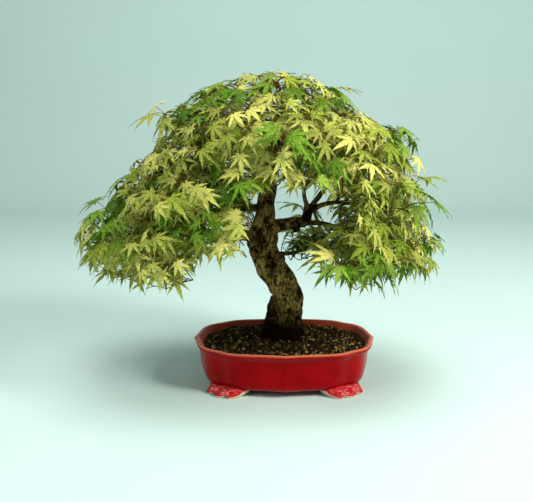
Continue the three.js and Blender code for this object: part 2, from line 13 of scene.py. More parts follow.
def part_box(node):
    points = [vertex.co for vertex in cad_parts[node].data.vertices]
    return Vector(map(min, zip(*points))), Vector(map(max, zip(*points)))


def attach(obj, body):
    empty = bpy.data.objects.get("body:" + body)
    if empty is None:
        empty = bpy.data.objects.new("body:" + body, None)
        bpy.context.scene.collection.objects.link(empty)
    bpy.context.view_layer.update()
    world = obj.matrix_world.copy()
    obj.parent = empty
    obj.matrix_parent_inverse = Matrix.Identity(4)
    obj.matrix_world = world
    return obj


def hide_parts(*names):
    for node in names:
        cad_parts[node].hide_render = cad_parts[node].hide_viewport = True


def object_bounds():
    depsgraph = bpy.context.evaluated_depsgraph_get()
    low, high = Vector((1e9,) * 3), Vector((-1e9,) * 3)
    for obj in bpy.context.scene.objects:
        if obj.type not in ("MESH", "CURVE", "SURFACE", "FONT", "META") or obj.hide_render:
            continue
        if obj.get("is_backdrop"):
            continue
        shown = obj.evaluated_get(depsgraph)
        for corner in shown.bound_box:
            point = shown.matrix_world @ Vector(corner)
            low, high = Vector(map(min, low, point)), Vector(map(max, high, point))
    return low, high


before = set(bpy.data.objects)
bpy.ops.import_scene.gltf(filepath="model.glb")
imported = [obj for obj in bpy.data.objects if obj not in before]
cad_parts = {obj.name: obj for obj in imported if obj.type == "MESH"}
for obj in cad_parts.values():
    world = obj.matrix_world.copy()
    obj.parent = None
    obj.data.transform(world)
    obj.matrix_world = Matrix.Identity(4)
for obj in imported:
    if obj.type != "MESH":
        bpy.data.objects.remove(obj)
cad_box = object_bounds()

METRE = 1000.0
pot_low, pot_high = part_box("pot")
POT_PLACE = np.array([(pot_low.x + pot_high.x) / 2, (pot_low.y + pot_high.y) / 2, 0.0]) * METRE
UP = np.array([0.0, 0.0, 1.0])

# ---- Sizes ----

CUSP_HEIGHT, CUSP_HALF_WIDTH = 4.8, 40
POT_HALF_LENGTH = (pot_high.x - pot_low.x) / 2 * METRE - CUSP_HEIGHT
POT_HALF_WIDTH = (pot_high.y - pot_low.y) / 2 * METRE - CUSP_HEIGHT
POT_UNDERSIDE, POT_FLOOR = 8, 15
POT_SQUARENESS = 3.1
DENT_DEPTH, DENT_ANGLE, DENT_SPREAD = 4.2, 0.65, 0.12
DRAIN_X, DRAIN_RADIUS = 52, 9
SOIL_EDGE_Z, SOIL_MOUND, SOIL_MOUND_SPREAD = 57, 8, 75
TRUNK_X, TRUNK_Y, ROOT_RADIUS = -1, 17, 30.5

TWIG_BASE_RADIUS, TWIG_TIP_RADIUS, TWIG_NECK = 2.1, 1.35, 9
STEM_RADIUS, FIRST_NODE, SECOND_NODE = 1.3, 14, 12
STALK_LENGTH, LEAF_LENGTH = 18, 41
LOBE_DROOP, FRONT_LEAN = 0.14, 0.35

# The seeded rule that places shoots and leaves, as in the part's source.
SHOOT_SEED, PAD_SEED_STEP, SHOOT_SEED_STEP = 1000, 97, 13
LEAF_SEED, LEAF_SEED_STEP = 5000, 31
TRIES, GOLDEN_ANGLE = 80, 2.399963
CROWN_AXIS = (-15, 15)
LOBE_HALF_WIDTH, TIP_HALF_WIDTH = 4.2, 2.2
STALK_ROOM, STALK_FREE_FROM, STALK_TWIST_COSINE = 1.5, 8, 0.3
WOOD_SPACING, LEAF_SPACING = 4, 6
STEM_TO_WOOD, STEM_TO_STEM, TWIG_TO_STEM = 4, 6, 2
LEAF_TO_WOOD, LEAF_TO_LEAF = 1, 0.5
# How much a shoot heads out of the crown, its stem levels off, and a leaf turns out of the crown.
SHOOT_OUTWARD, STEM_LEVELLING, LEAF_OUTWARD = 0.7, 0.35, 0.35
# For the first and the second pair of leaves: how far they swing and how much they follow the stem.
LEAF_SWINGS, LEAF_FOLLOWS = (0.2, 0.5), (0.25, 0.7)
PAIRS_AND_SIDES = ((0, 1), (0, -1), (1, 1), (1, -1))
# The least droop of a leaf and what is added at most.
DROOPS = (0.35, 0.75)

# The tree's limbs as points x, y, z and radius. Each limb starts inside the one that carries it.
LIMBS = {
    "trunk": [
        (-1, 17, 36, 30.5), (-1, 17, 64, 30.5), (-1, 17, 76, 28), (-1, 17, 91, 26), (2, 17, 107, 25),
        (6, 17, 121, 22), (2, 17, 134, 20.5), (-5, 17, 149, 21.5), (-17, 17, 165, 21.5),
        (-27, 17, 181, 20.5), (-32, 17, 197, 20), (-31, 16, 213, 21.5), (-29, 14, 229, 16.5),
        (-26, 8, 245, 10.5), (-23, 6, 266, 6),
    ],
    "leader": [
        (-30, 17, 220, 16), (-27, 24, 246, 13.5), (-25, 27, 264, 12.5), (-21, 28, 286, 11),
        (-19, 27, 307, 9.5), (-18, 24, 328, 8), (-12, 22, 350, 6.2), (-4, 20, 374, 4.6), (3, 18, 398, 3),
    ],
    "knobLow": [(0, 17, 104, 14), (-16, 9, 106, 11.5), (-23, 6, 107, 7)],
    "knobHigh": [(-22, 17, 176, 14), (-4, 4, 181, 8), (-1, 2, 182, 5)],
    "scarLeft": [(-30, 17, 206, 14), (-48, 6, 201, 8), (-52, 4, 200, 5)],
    "left": [
        (-32, 16, 208, 11), (-55, 12, 213, 8), (-89, 6, 212, 6), (-111, 0, 215, 5), (-136, -6, 217, 4.2),
        (-170, -12, 223, 3.2), (-200, -17, 226, 2.3),
    ],
    "leftFront": [(-111, 0, 215, 4), (-135, -25, 213, 3.2), (-155, -52, 208, 2.7), (-168, -72, 202, 2.1)],
    "right": [
        (-24, 15, 220, 12), (-10, 12, 227, 10), (14, 8, 233, 8), (28, 5, 234, 7.5), (33, 3, 247, 7),
        (33, 2, 259, 5.5),
    ],
    "rightStub": [(14, 8, 232, 6.5), (18, 4, 219, 5.2)],
    "rightFront": [(33, 2, 254, 4.5), (27, -8, 276, 3.6), (32, -30, 298, 2.8), (44, -58, 312, 2.2)],
    "rightTip": [(33, 2, 252, 5), (62, -5, 262, 4), (98, -16, 266, 3), (122, -24, 264, 2.2)],
    "rightHigh": [(33, 2, 250, 5), (61, 8, 286, 4), (80, 8, 310, 3.2), (92, 4, 332, 2.2)],
    "rightLow": [(28, 5, 233, 5), (65, -12, 232, 4), (100, -32, 214, 3), (124, -46, 198, 2.2)],
    "rightBack": [(33, 3, 246, 5), (62, 48, 254, 3.8), (100, 88, 250, 2.3)],
    "backLow": [
        (-26, 20, 184, 7), (-12, 40, 180, 5), (18, 66, 177, 3.8), (42, 88, 181, 3), (56, 108, 192, 2.2),
    ],
    "middleLeft": [(-27, 23, 246, 8), (-58, 4, 258, 5.5), (-95, -22, 266, 4), (-125, -42, 270, 2.5)],
    "innerLeft": [(-58, 4, 258, 4), (-56, -22, 266, 3), (-54, -46, 270, 2.2)],
    "leftBack": [(-27, 24, 252, 8), (-62, 52, 246, 5.5), (-110, 82, 236, 4), (-160, 88, 232, 2.4)],
    "upperLeft": [(-22, 28, 284, 7), (-48, 20, 306, 5), (-78, 6, 328, 3.6), (-104, -6, 346, 2.3)],
    "upperLeftBack": [(-21, 28, 294, 7), (-45, 62, 310, 4.8), (-74, 100, 322, 2.4)],
    "upperRightBack": [(-18, 25, 318, 6), (14, 58, 324, 4.2), (48, 96, 322, 2.3)],
    "topFront": [(-18, 24, 334, 6), (-16, -12, 350, 4.6), (-8, -50, 354, 3.4), (-2, -74, 350, 2.3)],
}

# The crown's pads of foliage: name, the limb whose tip feeds the pad, its middle, its reach along x, y and z,
# and the number of its shoots.
PADS = [
    ("left_tip", "left", (-210, -16, 228), (48, 58, 34), 4),
    ("left_front", "leftFront", (-168, -88, 204), (50, 46, 28), 4),
    ("left_back", "leftBack", (-172, 84, 236), (56, 54, 30), 3),
    ("middle_left", "middleLeft", (-132, -54, 280), (60, 52, 34), 4),
    ("inner_left", "innerLeft", (-66, -62, 268), (30, 30, 22), 1),
    ("upper_left", "upperLeft", (-112, -18, 366), (50, 58, 40), 4),
    ("high_left_back", "upperLeftBack", (-75, 108, 331), (56, 50, 32), 3),
    ("top", "leader", (2, 10, 405), (64, 58, 26), 5),
    ("top_front", "topFront", (-6, -86, 356), (60, 44, 28), 4),
    ("upper_right", "rightHigh", (92, -6, 350), (60, 58, 34), 4),
    ("high_right_back", "upperRightBack", (54, 104, 330), (56, 50, 32), 3),
    ("right_front", "rightFront", (54, -84, 308), (42, 38, 24), 3),
    ("right", "rightTip", (130, -26, 272), (52, 56, 32), 4),
    ("lower_right", "rightLow", (116, -56, 190), (62, 50, 28), 4),
    ("right_back", "rightBack", (110, 98, 254), (54, 50, 32), 3),
    ("back_low", "backLow", (54, 122, 200), (44, 34, 20), 2),
]

# Lobes of a leaf: angle from the midrib and length as a share of the middle lobe's.
LOBES = [(-1.45, 0.52), (-0.72, 0.85), (0.0, 1.0), (0.72, 0.85), (1.45, 0.52)]


# ---- Growth ----


def random_source(seed):
    """Repeatable random numbers from 0 up to 1."""
    state = seed

    def draw():
        nonlocal state
        state = state * 16807 % 2147483647
        return state / 2147483647

    return draw


def unit(v):
    return v / math.sqrt(v @ v)


def balls_along(points, spacing):
    """Balls x, y, z and radius along a row of them, which stand for wood and leaves."""
    rows = []
    for start, end in zip(points, points[1:]):
        start, end = np.asarray(start, float), np.asarray(end, float)
        count = math.ceil(math.dist(start[:3], end[:3]) / spacing)
        rows.append(start + (end - start) * np.arange(count + 1)[:, None] / count)
    return np.vstack(rows)


def is_clear(balls, others, room):
    if not len(others):
        return True
    squared = ((balls[:, None, :3] - others[None, :, :3]) ** 2).sum(-1)
    reach = balls[:, None, 3] + others[None, :, 3] + room
    return not (squared < reach * reach).any()


def on_blade(leaf, right, forward, up):
    return leaf["centre"] + leaf["right"] * right + leaf["forward"] * forward + leaf["up"] * up


def make_leaf(node, direction, light, stalk, droop, length):
    right = unit(np.cross(direction, light))
    above = np.cross(right, direction)
    leaf = {
        "centre": node + direction * stalk,
        "right": right,
        "forward": direction * math.cos(droop) - above * math.sin(droop),
        "up": above * math.cos(droop) + direction * math.sin(droop),
        "length": length,
        "node": node,
        "above": above,
    }
    free = node + direction * STALK_FREE_FROM
    balls = [balls_along([(*free, STALK_ROOM), (*leaf["centre"], STALK_ROOM)], WOOD_SPACING)]
    for angle, share in LOBES:
        reach = share * length
        tip = on_blade(leaf, math.sin(angle) * reach, math.cos(angle) * reach, -LOBE_DROOP * reach)
        rib = [(*leaf["centre"], LOBE_HALF_WIDTH), (*tip, TIP_HALF_WIDTH)]
        balls.append(balls_along(rib, LEAF_SPACING))
    leaf["balls"] = np.vstack(balls)
    return leaf


def outward_from(place):
    return unit(np.array([place[0] - CROWN_AXIS[0], place[1] - CROWN_AXIS[1], 0.0]))


def make_shoot(base, turn, lift, start):
    """A twig from the wood to its base, and the stem that grows on from it with two pairs of leaves."""
    heading = np.array([math.cos(turn), math.sin(turn), lift])
    heading = unit(heading + outward_from(base) * SHOOT_OUTWARD)
    level = unit(np.cross(heading, UP))
    neck = base - heading * TWIG_NECK
    first = base + heading * FIRST_NODE
    second = first + unit(heading - UP * STEM_LEVELLING) * SECOND_NODE
    stem = [(*place, STEM_RADIUS) for place in (base + heading * WOOD_SPACING, first, second)]
    return {
        "base": base, "heading": heading, "level": level, "rise": unit(np.cross(level, heading)),
        "twig": [(*start, TWIG_BASE_RADIUS), (*neck, TWIG_TIP_RADIUS), (*base, TWIG_TIP_RADIUS)],
        "nodes": [first, second], "balls": balls_along(stem, WOOD_SPACING), "leaves": [],
    }


def place_shoot(pad, index, random, wood, stems):
    """The source's next shoot of a pad, tried in new places until it has room."""
    _, limb, middle, reach, count = pad
    before, host = (np.array(point[:3], float) for point in LIMBS[limb][-2:])
    start = before + (host - before) * ((index + 1) / count)
    for _ in range(TRIES):
        share = math.sqrt((index + 0.25 + 0.5 * random()) / count)
        turn = index * GOLDEN_ANGLE + 0.8 * (random() - 0.5) + middle[0]
        base = np.array([
            middle[0] + reach[0] * share * math.cos(turn),
            middle[1] + reach[1] * share * math.sin(turn),
            middle[2] + reach[2] * (0.6 - share * share),
        ])
        shoot = make_shoot(base, turn, 0.5 + 0.5 * random(), start)
        balls = shoot["balls"]
        stem_has_room = is_clear(balls, wood, STEM_TO_WOOD) and is_clear(balls, stems, STEM_TO_STEM)
        if stem_has_room and is_clear(balls_along(shoot["twig"], WOOD_SPACING), stems, TWIG_TO_STEM):
            return shoot
    return None


def place_leaf(shoot, pair, side, random, has_room, tries=TRIES, size=1.0, droops=DROOPS):
    """One leaf of a shoot, tried in new directions until it has room."""
    node = shoot["nodes"][pair]
    outward = outward_from(node)
    for _ in range(tries):
        swing = LEAF_SWINGS[pair] + 0.9 * (random() - 0.5)
        direction = unit(
            shoot["heading"] * LEAF_FOLLOWS[pair]
            + shoot["level"] * (side * math.cos(swing))
            + shoot["rise"] * (side * 0.7 * math.sin(swing))
            + outward * LEAF_OUTWARD
            + UP * (0.3 * (random() - 0.6))
        )
        light = UP + outward * (0.3 + 0.5 * random())
        light[0] += 0.8 * (random() - 0.5)
        light[1] += 0.8 * (random() - 0.5) - FRONT_LEAN
        stalk = STALK_LENGTH * (0.8 + 0.6 * random())
        droop = droops[0] + droops[1] * random()
        length = LEAF_LENGTH * (0.84 + 0.22 * random())
        leaf = make_leaf(node, direction, light, stalk * size, droop, length * size)
        if -side * (leaf["right"] @ shoot["heading"]) > STALK_TWIST_COSINE and has_room(leaf):
            return leaf
    return None


def grow_crown():
    """The shoots that the part's source has, in their places."""
    wood = [balls_along(points, WOOD_SPACING) for points in LIMBS.values()]
    shoots = []
    for pad_index, pad in enumerate(PADS):
        for index in range(pad[4]):
            random = random_source(SHOOT_SEED + PAD_SEED_STEP * pad_index + SHOOT_SEED_STEP * index)
            stems = np.vstack([shoot["balls"] for shoot in shoots]) if shoots else np.empty((0, 4))
            shoot = place_shoot(pad, index, random, np.vstack(wood), stems)
            if shoot:
                shoot["name"] = f"shoot_{pad[0]}_{index + 1}"
                shoots.append(shoot)
                wood.append(balls_along(shoot["twig"], WOOD_SPACING))
    others = np.vstack(wood + [shoot["balls"] for shoot in shoots])
    leaves = []
    reach = 2.2 * LEAF_LENGTH

    def has_room(leaf):
        far = np.abs(others[:, :3] - leaf["centre"]).max(1) < reach
        if not is_clear(leaf["balls"], others[far], LEAF_TO_WOOD):
            return False
        near = [o["balls"] for o in leaves if math.dist(o["centre"], leaf["centre"]) < reach]
        return not near or is_clear(leaf["balls"], np.vstack(near), LEAF_TO_LEAF)

    for index, shoot in enumerate(shoots):
        random = random_source(LEAF_SEED + LEAF_SEED_STEP * index)
        for pair, side in PAIRS_AND_SIDES:
            leaf = place_leaf(shoot, pair, side, random, has_room)
            if leaf:
                shoot["leaves"].append(leaf)
                leaves.append(leaf)
    return shoots, np.vstack(wood)


# The crown's outline from the front as rows of height, left edge and right edge, and its depth as a share
# of its width.
CROWN_OUTLINE = np.array([
    (125, 60, 165), (150, -240, 205), (176, -298, 228), (191, -298, 232), (215, -294, 222),
    (240, -276, 202), (260, -262, 190), (304, -226, 193), (325, -203, 195), (350, -188, 189),
    (371, -176, 148), (389, -165, 116), (415, -135, 72), (432, -82, 56), (450, -50, 34),
])
CROWN_DEPTH = 0.78
# The crown is lumpy: by what share its limit swells and shrinks, and over what distance.
CROWN_LIMIT, CROWN_LUMPS, CROWN_LUMP_SIZE = 0.97, 0.3, 26
# Blocks of open air round the trunk as lowest and highest x, y and z.
OPENINGS = [
    ((-42, -300, 205), (68, 300, 288)),
    ((-118, -300, 0), (-4, 300, 203)),
    ((-4, -300, 0), (26, 24, 203)),
    ((-4, 24, 0), (50, 300, 160)),
    ((26, -300, 0), (50, 24, 172)),
]
# Finer shoots between those of the source. Most places that are tried have no room.
FILL_SHOOTS, FILL_SEED, FILL_TRIES = 2900, 9001, 20
FILL_HEIGHTS = (164, 436)
FILL_INNER_SHARE, FILL_EDGE, FILL_LEAST_REACH = 0.3, 30, 8.0
FILL_LEAF_SIZES = (0.58, 0.92)
LOW_LIMB_SHOOTS, LOW_LIMB_SPREAD = 160, 17
# Leaves near the top droop less.
HIGH_FROM, HIGH_DROOPS = 375, (0.0, 0.55)
TWIG_LENGTHS = (10, 56)
# The share of a stem or a leaf that may lie in room that is already taken.
STEM_TAKEN, LEAF_TAKEN = 0.15, 0.12
# How far the finer leaves may go past the part's box.
PAST_BOX = 9.0
# Spots where the leaves of the finer shoots are plain green: x, z and radius, from the front.
GREEN_SPOTS = [
    (-61, 288, 24), (96, 158, 56), (-112, 404, 30), (145, 358, 34), (51, 412, 22), (-62, 416, 20),
    (200, 200, 26), (-106, 250, 22), (-215, 262, 24), (18, 330, 20),
]


def crown_at(height):
    """The middle and half the width of the crown at a height."""
    left, right = (np.interp(height, CROWN_OUTLINE[:, 0], CROWN_OUTLINE[:, i]) for i in (1, 2))
    return (left + right) / 2, (right - left) / 2


def in_crown(points):
    """Whether all points are inside the crown's limit, which isn't drawn in near the top."""
    middle, half = crown_at(points[:, 2])
    spread = ((points[:, 0] - middle) / half) ** 2 + (points[:, 1] / (CROWN_DEPTH * half)) ** 2
    lump = noise.noise(Vector(points.mean(0) / CROWN_LUMP_SIZE))
    limit = CROWN_LIMIT + CROWN_LUMPS * (max(lump, 0.0) if points[:, 2].max() > HIGH_FROM else lump)
    return spread.max() < limit and points[:, 2].min() > CROWN_OUTLINE[0, 0]


class Room:
    """Cells of space that are taken up by wood and leaves."""

    CELL, BESIDE = 3.0, 2.5
    LOW, COUNTS = np.array([-330.0, -250.0, 0.0]), (210, 170, 160)

    def __init__(self):
        self.taken = np.zeros(self.COUNTS, bool)

    def cells(self, points):
        index = ((points - self.LOW) / self.CELL).astype(int)
        return tuple(np.clip(index, 0, np.array(self.COUNTS) - 1).T)

    def take_wood(self, balls):
        for step in itertools.product((-1, 0, 1), repeat=3):
            self.taken[self.cells(balls[:, :3] + balls[:, 3:] * np.array(step))] = True

    def take_leaf(self, leaf):
        for x, y in itertools.product((-self.BESIDE, 0, self.BESIDE), repeat=2):
            self.taken[self.cells(leaf["balls"][:, :3] + leaf["right"] * x + leaf["forward"] * y)] = True

    def share_taken(self, balls):
        return self.taken[self.cells(balls[:, :3])].mean()


def in_open_air(points):
    return any(((points > low) & (points < high)).all(1).any() for low, high in OPENINGS)


def fill_bases(random):
    """Places for finer shoots as turn and place: along the low limb at the back, then through the crown."""
    limb = np.array(LIMBS["backLow"], float)[1:, :3]
    for index in range(LOW_LIMB_SHOOTS):
        share = random() * (len(limb) - 1)
        near = limb[int(share)] + (limb[int(share) + 1] - limb[int(share)]) * (share % 1)
        offset = np.array([random() - 0.5, random() - 0.7, random() - 0.3]) * 2 * LOW_LIMB_SPREAD
        yield index * GOLDEN_ANGLE, near + offset
    for index in range(FILL_SHOOTS):
        turn = index * GOLDEN_ANGLE
        height = FILL_HEIGHTS[0] + (FILL_HEIGHTS[1] - FILL_HEIGHTS[0]) * random()
        middle, half = crown_at(height)
        share = FILL_INNER_SHARE + (1 - FILL_INNER_SHARE) * math.sqrt(random())
        reach = max(FILL_LEAST_REACH, half - FILL_EDGE) * share
        yield turn, np.array([middle + reach * math.cos(turn), CROWN_DEPTH * reach * math.sin(turn), height])


def twig_start(shoot, wood):
    """The place in the wood that a shoot's twig best grows from: near, and behind the way it heads."""
    back = shoot["base"] - wood[:, :3]
    away = np.sqrt((back**2).sum(1))
    ahead = back @ shoot["heading"] / np.maximum(away, 1.0)
    cost = np.where((away > TWIG_LENGTHS[0]) & (away < TWIG_LENGTHS[1]), away * (1.4 - ahead), np.inf)
    best = cost.argmin()
    return wood[best, :3] if cost[best] < np.inf else None


def fill_crown(shoots, wood):
    """Finer shoots in the room that is left."""
    room = Room()
    room.take_wood(wood)
    for shoot in shoots:
        room.take_wood(shoot["balls"])
        for leaf in shoot["leaves"]:
            room.take_leaf(leaf)
    low, high = (np.array(corner) * METRE - POT_PLACE for corner in cad_box)
    low, high = low - PAST_BOX, high + PAST_BOX

    def has_room(leaf):
        points = leaf["balls"][:, :3]
        in_box = (points > low).all() and (points < high).all()
        if not in_box or not in_crown(points) or in_open_air(points):
            return False
        return room.share_taken(leaf["balls"]) <= LEAF_TAKEN

    added = []
    random = random_source(FILL_SEED)
    for turn, base in fill_bases(random):
        shoot = make_shoot(base, turn, 0.3 + 0.6 * random(), base)
        size = FILL_LEAF_SIZES[0] + (FILL_LEAF_SIZES[1] - FILL_LEAF_SIZES[0]) * random()
        if in_open_air(shoot["balls"][:, :3]) or room.share_taken(shoot["balls"]) > STEM_TAKEN:
            continue
        start = twig_start(shoot, wood)
        if start is None:
            continue
        shoot["twig"][0] = (*start, TWIG_BASE_RADIUS)
        twig = balls_along(shoot["twig"], WOOD_SPACING)
        if in_open_air(twig[:, :3]):
            continue
        droops = HIGH_DROOPS if base[2] > HIGH_FROM else DROOPS
        for pair, side in PAIRS_AND_SIDES:
            leaf = place_leaf(shoot, pair, side, random, has_room, FILL_TRIES, size, droops)
            if leaf:
                shoot["leaves"].append(leaf)
                room.take_leaf(leaf)
        if shoot["leaves"]:
            room.take_wood(np.vstack([shoot["balls"], twig]))
            wood = np.vstack([wood, twig])
            added.append(shoot)
    return added


# ---- Meshes ----


class Shape:
    """Vertices, faces and per-vertex values that are gathered into one mesh."""

    def __init__(self):
        self.points, self.faces, self.values = [], [], {}
        self.count = 0

    def add(self, points, faces, **values):
        points = np.asarray(points, float)
        self.points.append(points)
        self.faces.extend([tuple(int(i) + self.count for i in face) for face in faces])
        for key, value in values.items():
            rows = np.broadcast_to(np.asarray(value, float), (len(points), 3))
            self.values.setdefault(key, []).append(rows)
        self.count += len(points)

    def piece(self, name, material, slot, replaced=(), sharp_above=None, merged=False):
        """The mesh as a piece that rides on the part and stands for the CAD nodes given."""
        mesh = bpy.data.meshes.new(name)
        points = (np.vstack(self.points) + POT_PLACE) / METRE
        mesh.from_pydata(points.tolist(), [], self.faces)
        for key, rows in self.values.items():
            layer = mesh.attributes.new(key, "FLOAT_VECTOR", "POINT")
            layer.data.foreach_set("vector", np.vstack(rows).astype(np.float32).ravel())
        if merged:
            merge_points(mesh)
        mesh.shade_smooth()
        if sharp_above is not None:
            mesh.set_sharp_from_angle(angle=math.radians(sharp_above))
        mesh.materials.append(material)
        piece = bpy.data.objects.new(name, mesh)
        bpy.context.scene.collection.objects.link(piece)
        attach(piece, "root")
        if replaced:
            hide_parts(*replaced)


def merge_points(mesh):
    """Join points that lie on each other, so that plates and walls close."""
    bm = bmesh.new()
    bm.from_mesh(mesh)
    bmesh.ops.remove_doubles(bm, verts=bm.verts, dist=1e-6)
    bm.to_mesh(mesh)
    bm.free()


def ring_faces(rings, steps):
    """Quads between rings of points that each close on themselves."""
    return [
        (i * steps + k, i * steps + (k + 1) % steps, (i + 1) * steps + (k + 1) % steps, (i + 1) * steps + k)
        for i in range(rings - 1)
        for k in range(steps)
    ]


def capped_faces(rings, steps):
    """Quads between rings of points, with a face over the first ring and over the last."""
    last = (rings - 1) * steps
    return [*ring_faces(rings, steps), tuple(range(steps - 1, -1, -1)), tuple(range(last, last + steps))]


def smooth_path(points, steps):
    """A Catmull-Rom curve through rows of numbers."""
    points = np.asarray(points, float)
    ends = np.vstack([2 * points[0] - points[1], points, 2 * points[-1] - points[-2]])
    rows = []
    for a, b, c, d in zip(ends, ends[1:], ends[2:], ends[3:]):
        bend, twist = 2 * a - 5 * b + 4 * c - d, 3 * b - a - 3 * c + d
        for t in np.arange(steps) / steps:
            rows.append(0.5 * (2 * b + (c - a) * t + bend * t**2 + twist * t**3))
    rows.append(points[-1])
    return np.array(rows)


def tube(path, sides, relief=0.0):
    """A closed round tube along rows of x, y, z and radius, with ridges of the given share of its radius."""
    across = np.array([0.2, 0.9, 0.4])
    rings = []
    for i, row in enumerate(path):
        along = unit(path[min(i + 1, len(path) - 1)][:3] - path[max(i - 1, 0)][:3])
        across = unit(across - along * (across @ along))
        other = np.cross(along, across)
        turn = 2 * math.pi * np.arange(sides) / sides
        ridge = np.sin(3 * turn + row[2] / 17) + 0.6 * np.sin(5 * turn - row[2] / 11)
        radius = row[3] * (1 + relief * ridge)
        ring = row[:3] + np.outer(radius * np.cos(turn), across)
        rings.append(ring + np.outer(radius * np.sin(turn), other))
    return np.vstack(rings), capped_faces(len(path), sides)


# ---- Materials ----


class Finish:
    """A procedural material on one Principled shader."""

    def __init__(self, name, **constants):
        self.material = bpy.data.materials.new(name)
        self.material.use_nodes = True
        self.tree = self.material.node_tree
        self.shader = self.tree.nodes["Principled BSDF"]
        for socket, value in constants.items():
            self.shader.inputs[socket.replace("_", " ")].default_value = value

    def add(self, kind, inputs=None, **settings):
        node = self.tree.nodes.new("ShaderNode" + kind)
        for key, value in settings.items():
            setattr(node, key, value)
        for key, value in (inputs or {}).items():
            if isinstance(value, bpy.types.NodeSocket):
                self.tree.links.new(value, node.inputs[key])
            else:
                node.inputs[key].default_value = value
        return node

    def place(self):
        return self.add("TexCoord").outputs["Object"]

    def attribute(self, name):
        return self.add("Attribute", attribute_name=name).outputs["Vector"]

    def parts(self, vector):
        return self.add("SeparateXYZ", {"Vector": vector}).outputs

    def stretched(self, vector, scale):
        return self.add("Mapping", {"Vector": vector, "Scale": scale}).outputs["Vector"]

    def noise(self, vector, scale, detail=4.0, roughness=0.6):
        inputs = {"Vector": vector, "Scale": scale, "Detail": detail, "Roughness": roughness}
        return self.add("TexNoise", inputs).outputs["Fac"]

    def maths(self, operation, a, b=0.0):
        return self.add("Math", {0: a, 1: b}, operation=operation).outputs[0]

    def between(self, value, low, high):
        """0 at low, 1 at high, smooth between them."""
        inputs = {"Value": value, "From Min": low, "From Max": high}
        return self.add("MapRange", inputs, interpolation_type="SMOOTHSTEP").outputs[0]

    def mix(self, share, a, b):
        node = self.add("Mix", data_type="RGBA")
        for key, value in ((0, share), (6, a), (7, b)):
            if isinstance(value, bpy.types.NodeSocket):
                self.tree.links.new(value, node.inputs[key])
            else:
                node.inputs[key].default_value = (*value, 1.0) if key else value
        return node.outputs[2]

    def colour(self, socket):
        self.tree.links.new(socket, self.shader.inputs["Base Color"])

    def rough(self, value, low, high):
        node = self.add("MapRange", {"Value": value, "To Min": low, "To Max": high})
        self.tree.links.new(node.outputs[0], self.shader.inputs["Roughness"])

    def bump(self, height, depth_mm, strength=1.0):
        inputs = {"Height": height, "Distance": depth_mm / METRE, "Strength": strength}
        self.tree.links.new(self.add("Bump", inputs).outputs[0], self.shader.inputs["Normal"])


def leaf_material(name, dark, middle, light, cream_share):
    """Leaf tissue: a green blade mottled and streaked with cream between its veins, with a browner tip."""
    f = Finish(name, Subsurface_Weight=0.2, Specular_IOR_Level=0.2, Specular_Tint=(0.7, 0.75, 0.12, 1.0))
    f.shader.inputs["Subsurface Radius"].default_value = (0.0016, 0.002, 0.0004)
    tone = f.parts(f.attribute("tone"))
    across, along, _ = f.parts(f.attribute("blade"))[:3]
    streaks = f.noise(f.stretched(f.attribute("streak"), (1.0, 0.25, 1.0)), 1.1, 6.0, 0.75)
    mottle = f.noise(f.place(), 420.0, 4.0, 0.7)
    green = f.mix(f.between(mottle, 0.38, 0.62), dark, middle)
    cream_from = f.maths("SUBTRACT", 0.66 - 0.22 * cream_share, f.maths("MULTIPLY", tone[0], 0.17))
    cream = f.between(f.maths("SUBTRACT", streaks, cream_from), -0.07, 0.07)
    body = f.mix(f.maths("MULTIPLY", cream, 0.85), green, light)
    rib = f.between(f.maths("ABSOLUTE", across), 0.16, 0.03)
    body = f.mix(f.maths("MULTIPLY", rib, 0.4), body, light)
    tip = f.maths("MULTIPLY", f.between(along, 0.6, 1.05), tone[1])
    body = f.mix(f.maths("MULTIPLY", tip, 0.8), body, (0.42, 0.2, 0.05))
    shade = f.mix(tone[2], (0.2, 0.27, 0.08), (1.04, 1.04, 1.04))
    body = f.add("Mix", {0: 1.0, 6: body, 7: shade}, data_type="RGBA", blend_type="MULTIPLY").outputs[2]
    f.colour(body)
    side_vein = f.maths("SINE", f.maths("MULTIPLY", f.maths("ADD", along, f.maths("ABSOLUTE", across)), 44.0))
    relief = f.maths("ADD", f.maths("MULTIPLY", side_vein, 0.4), f.maths("MULTIPLY", rib, -1.0))
    f.bump(relief, 0.12)
    f.rough(streaks, 0.42, 0.62)
    return f.material


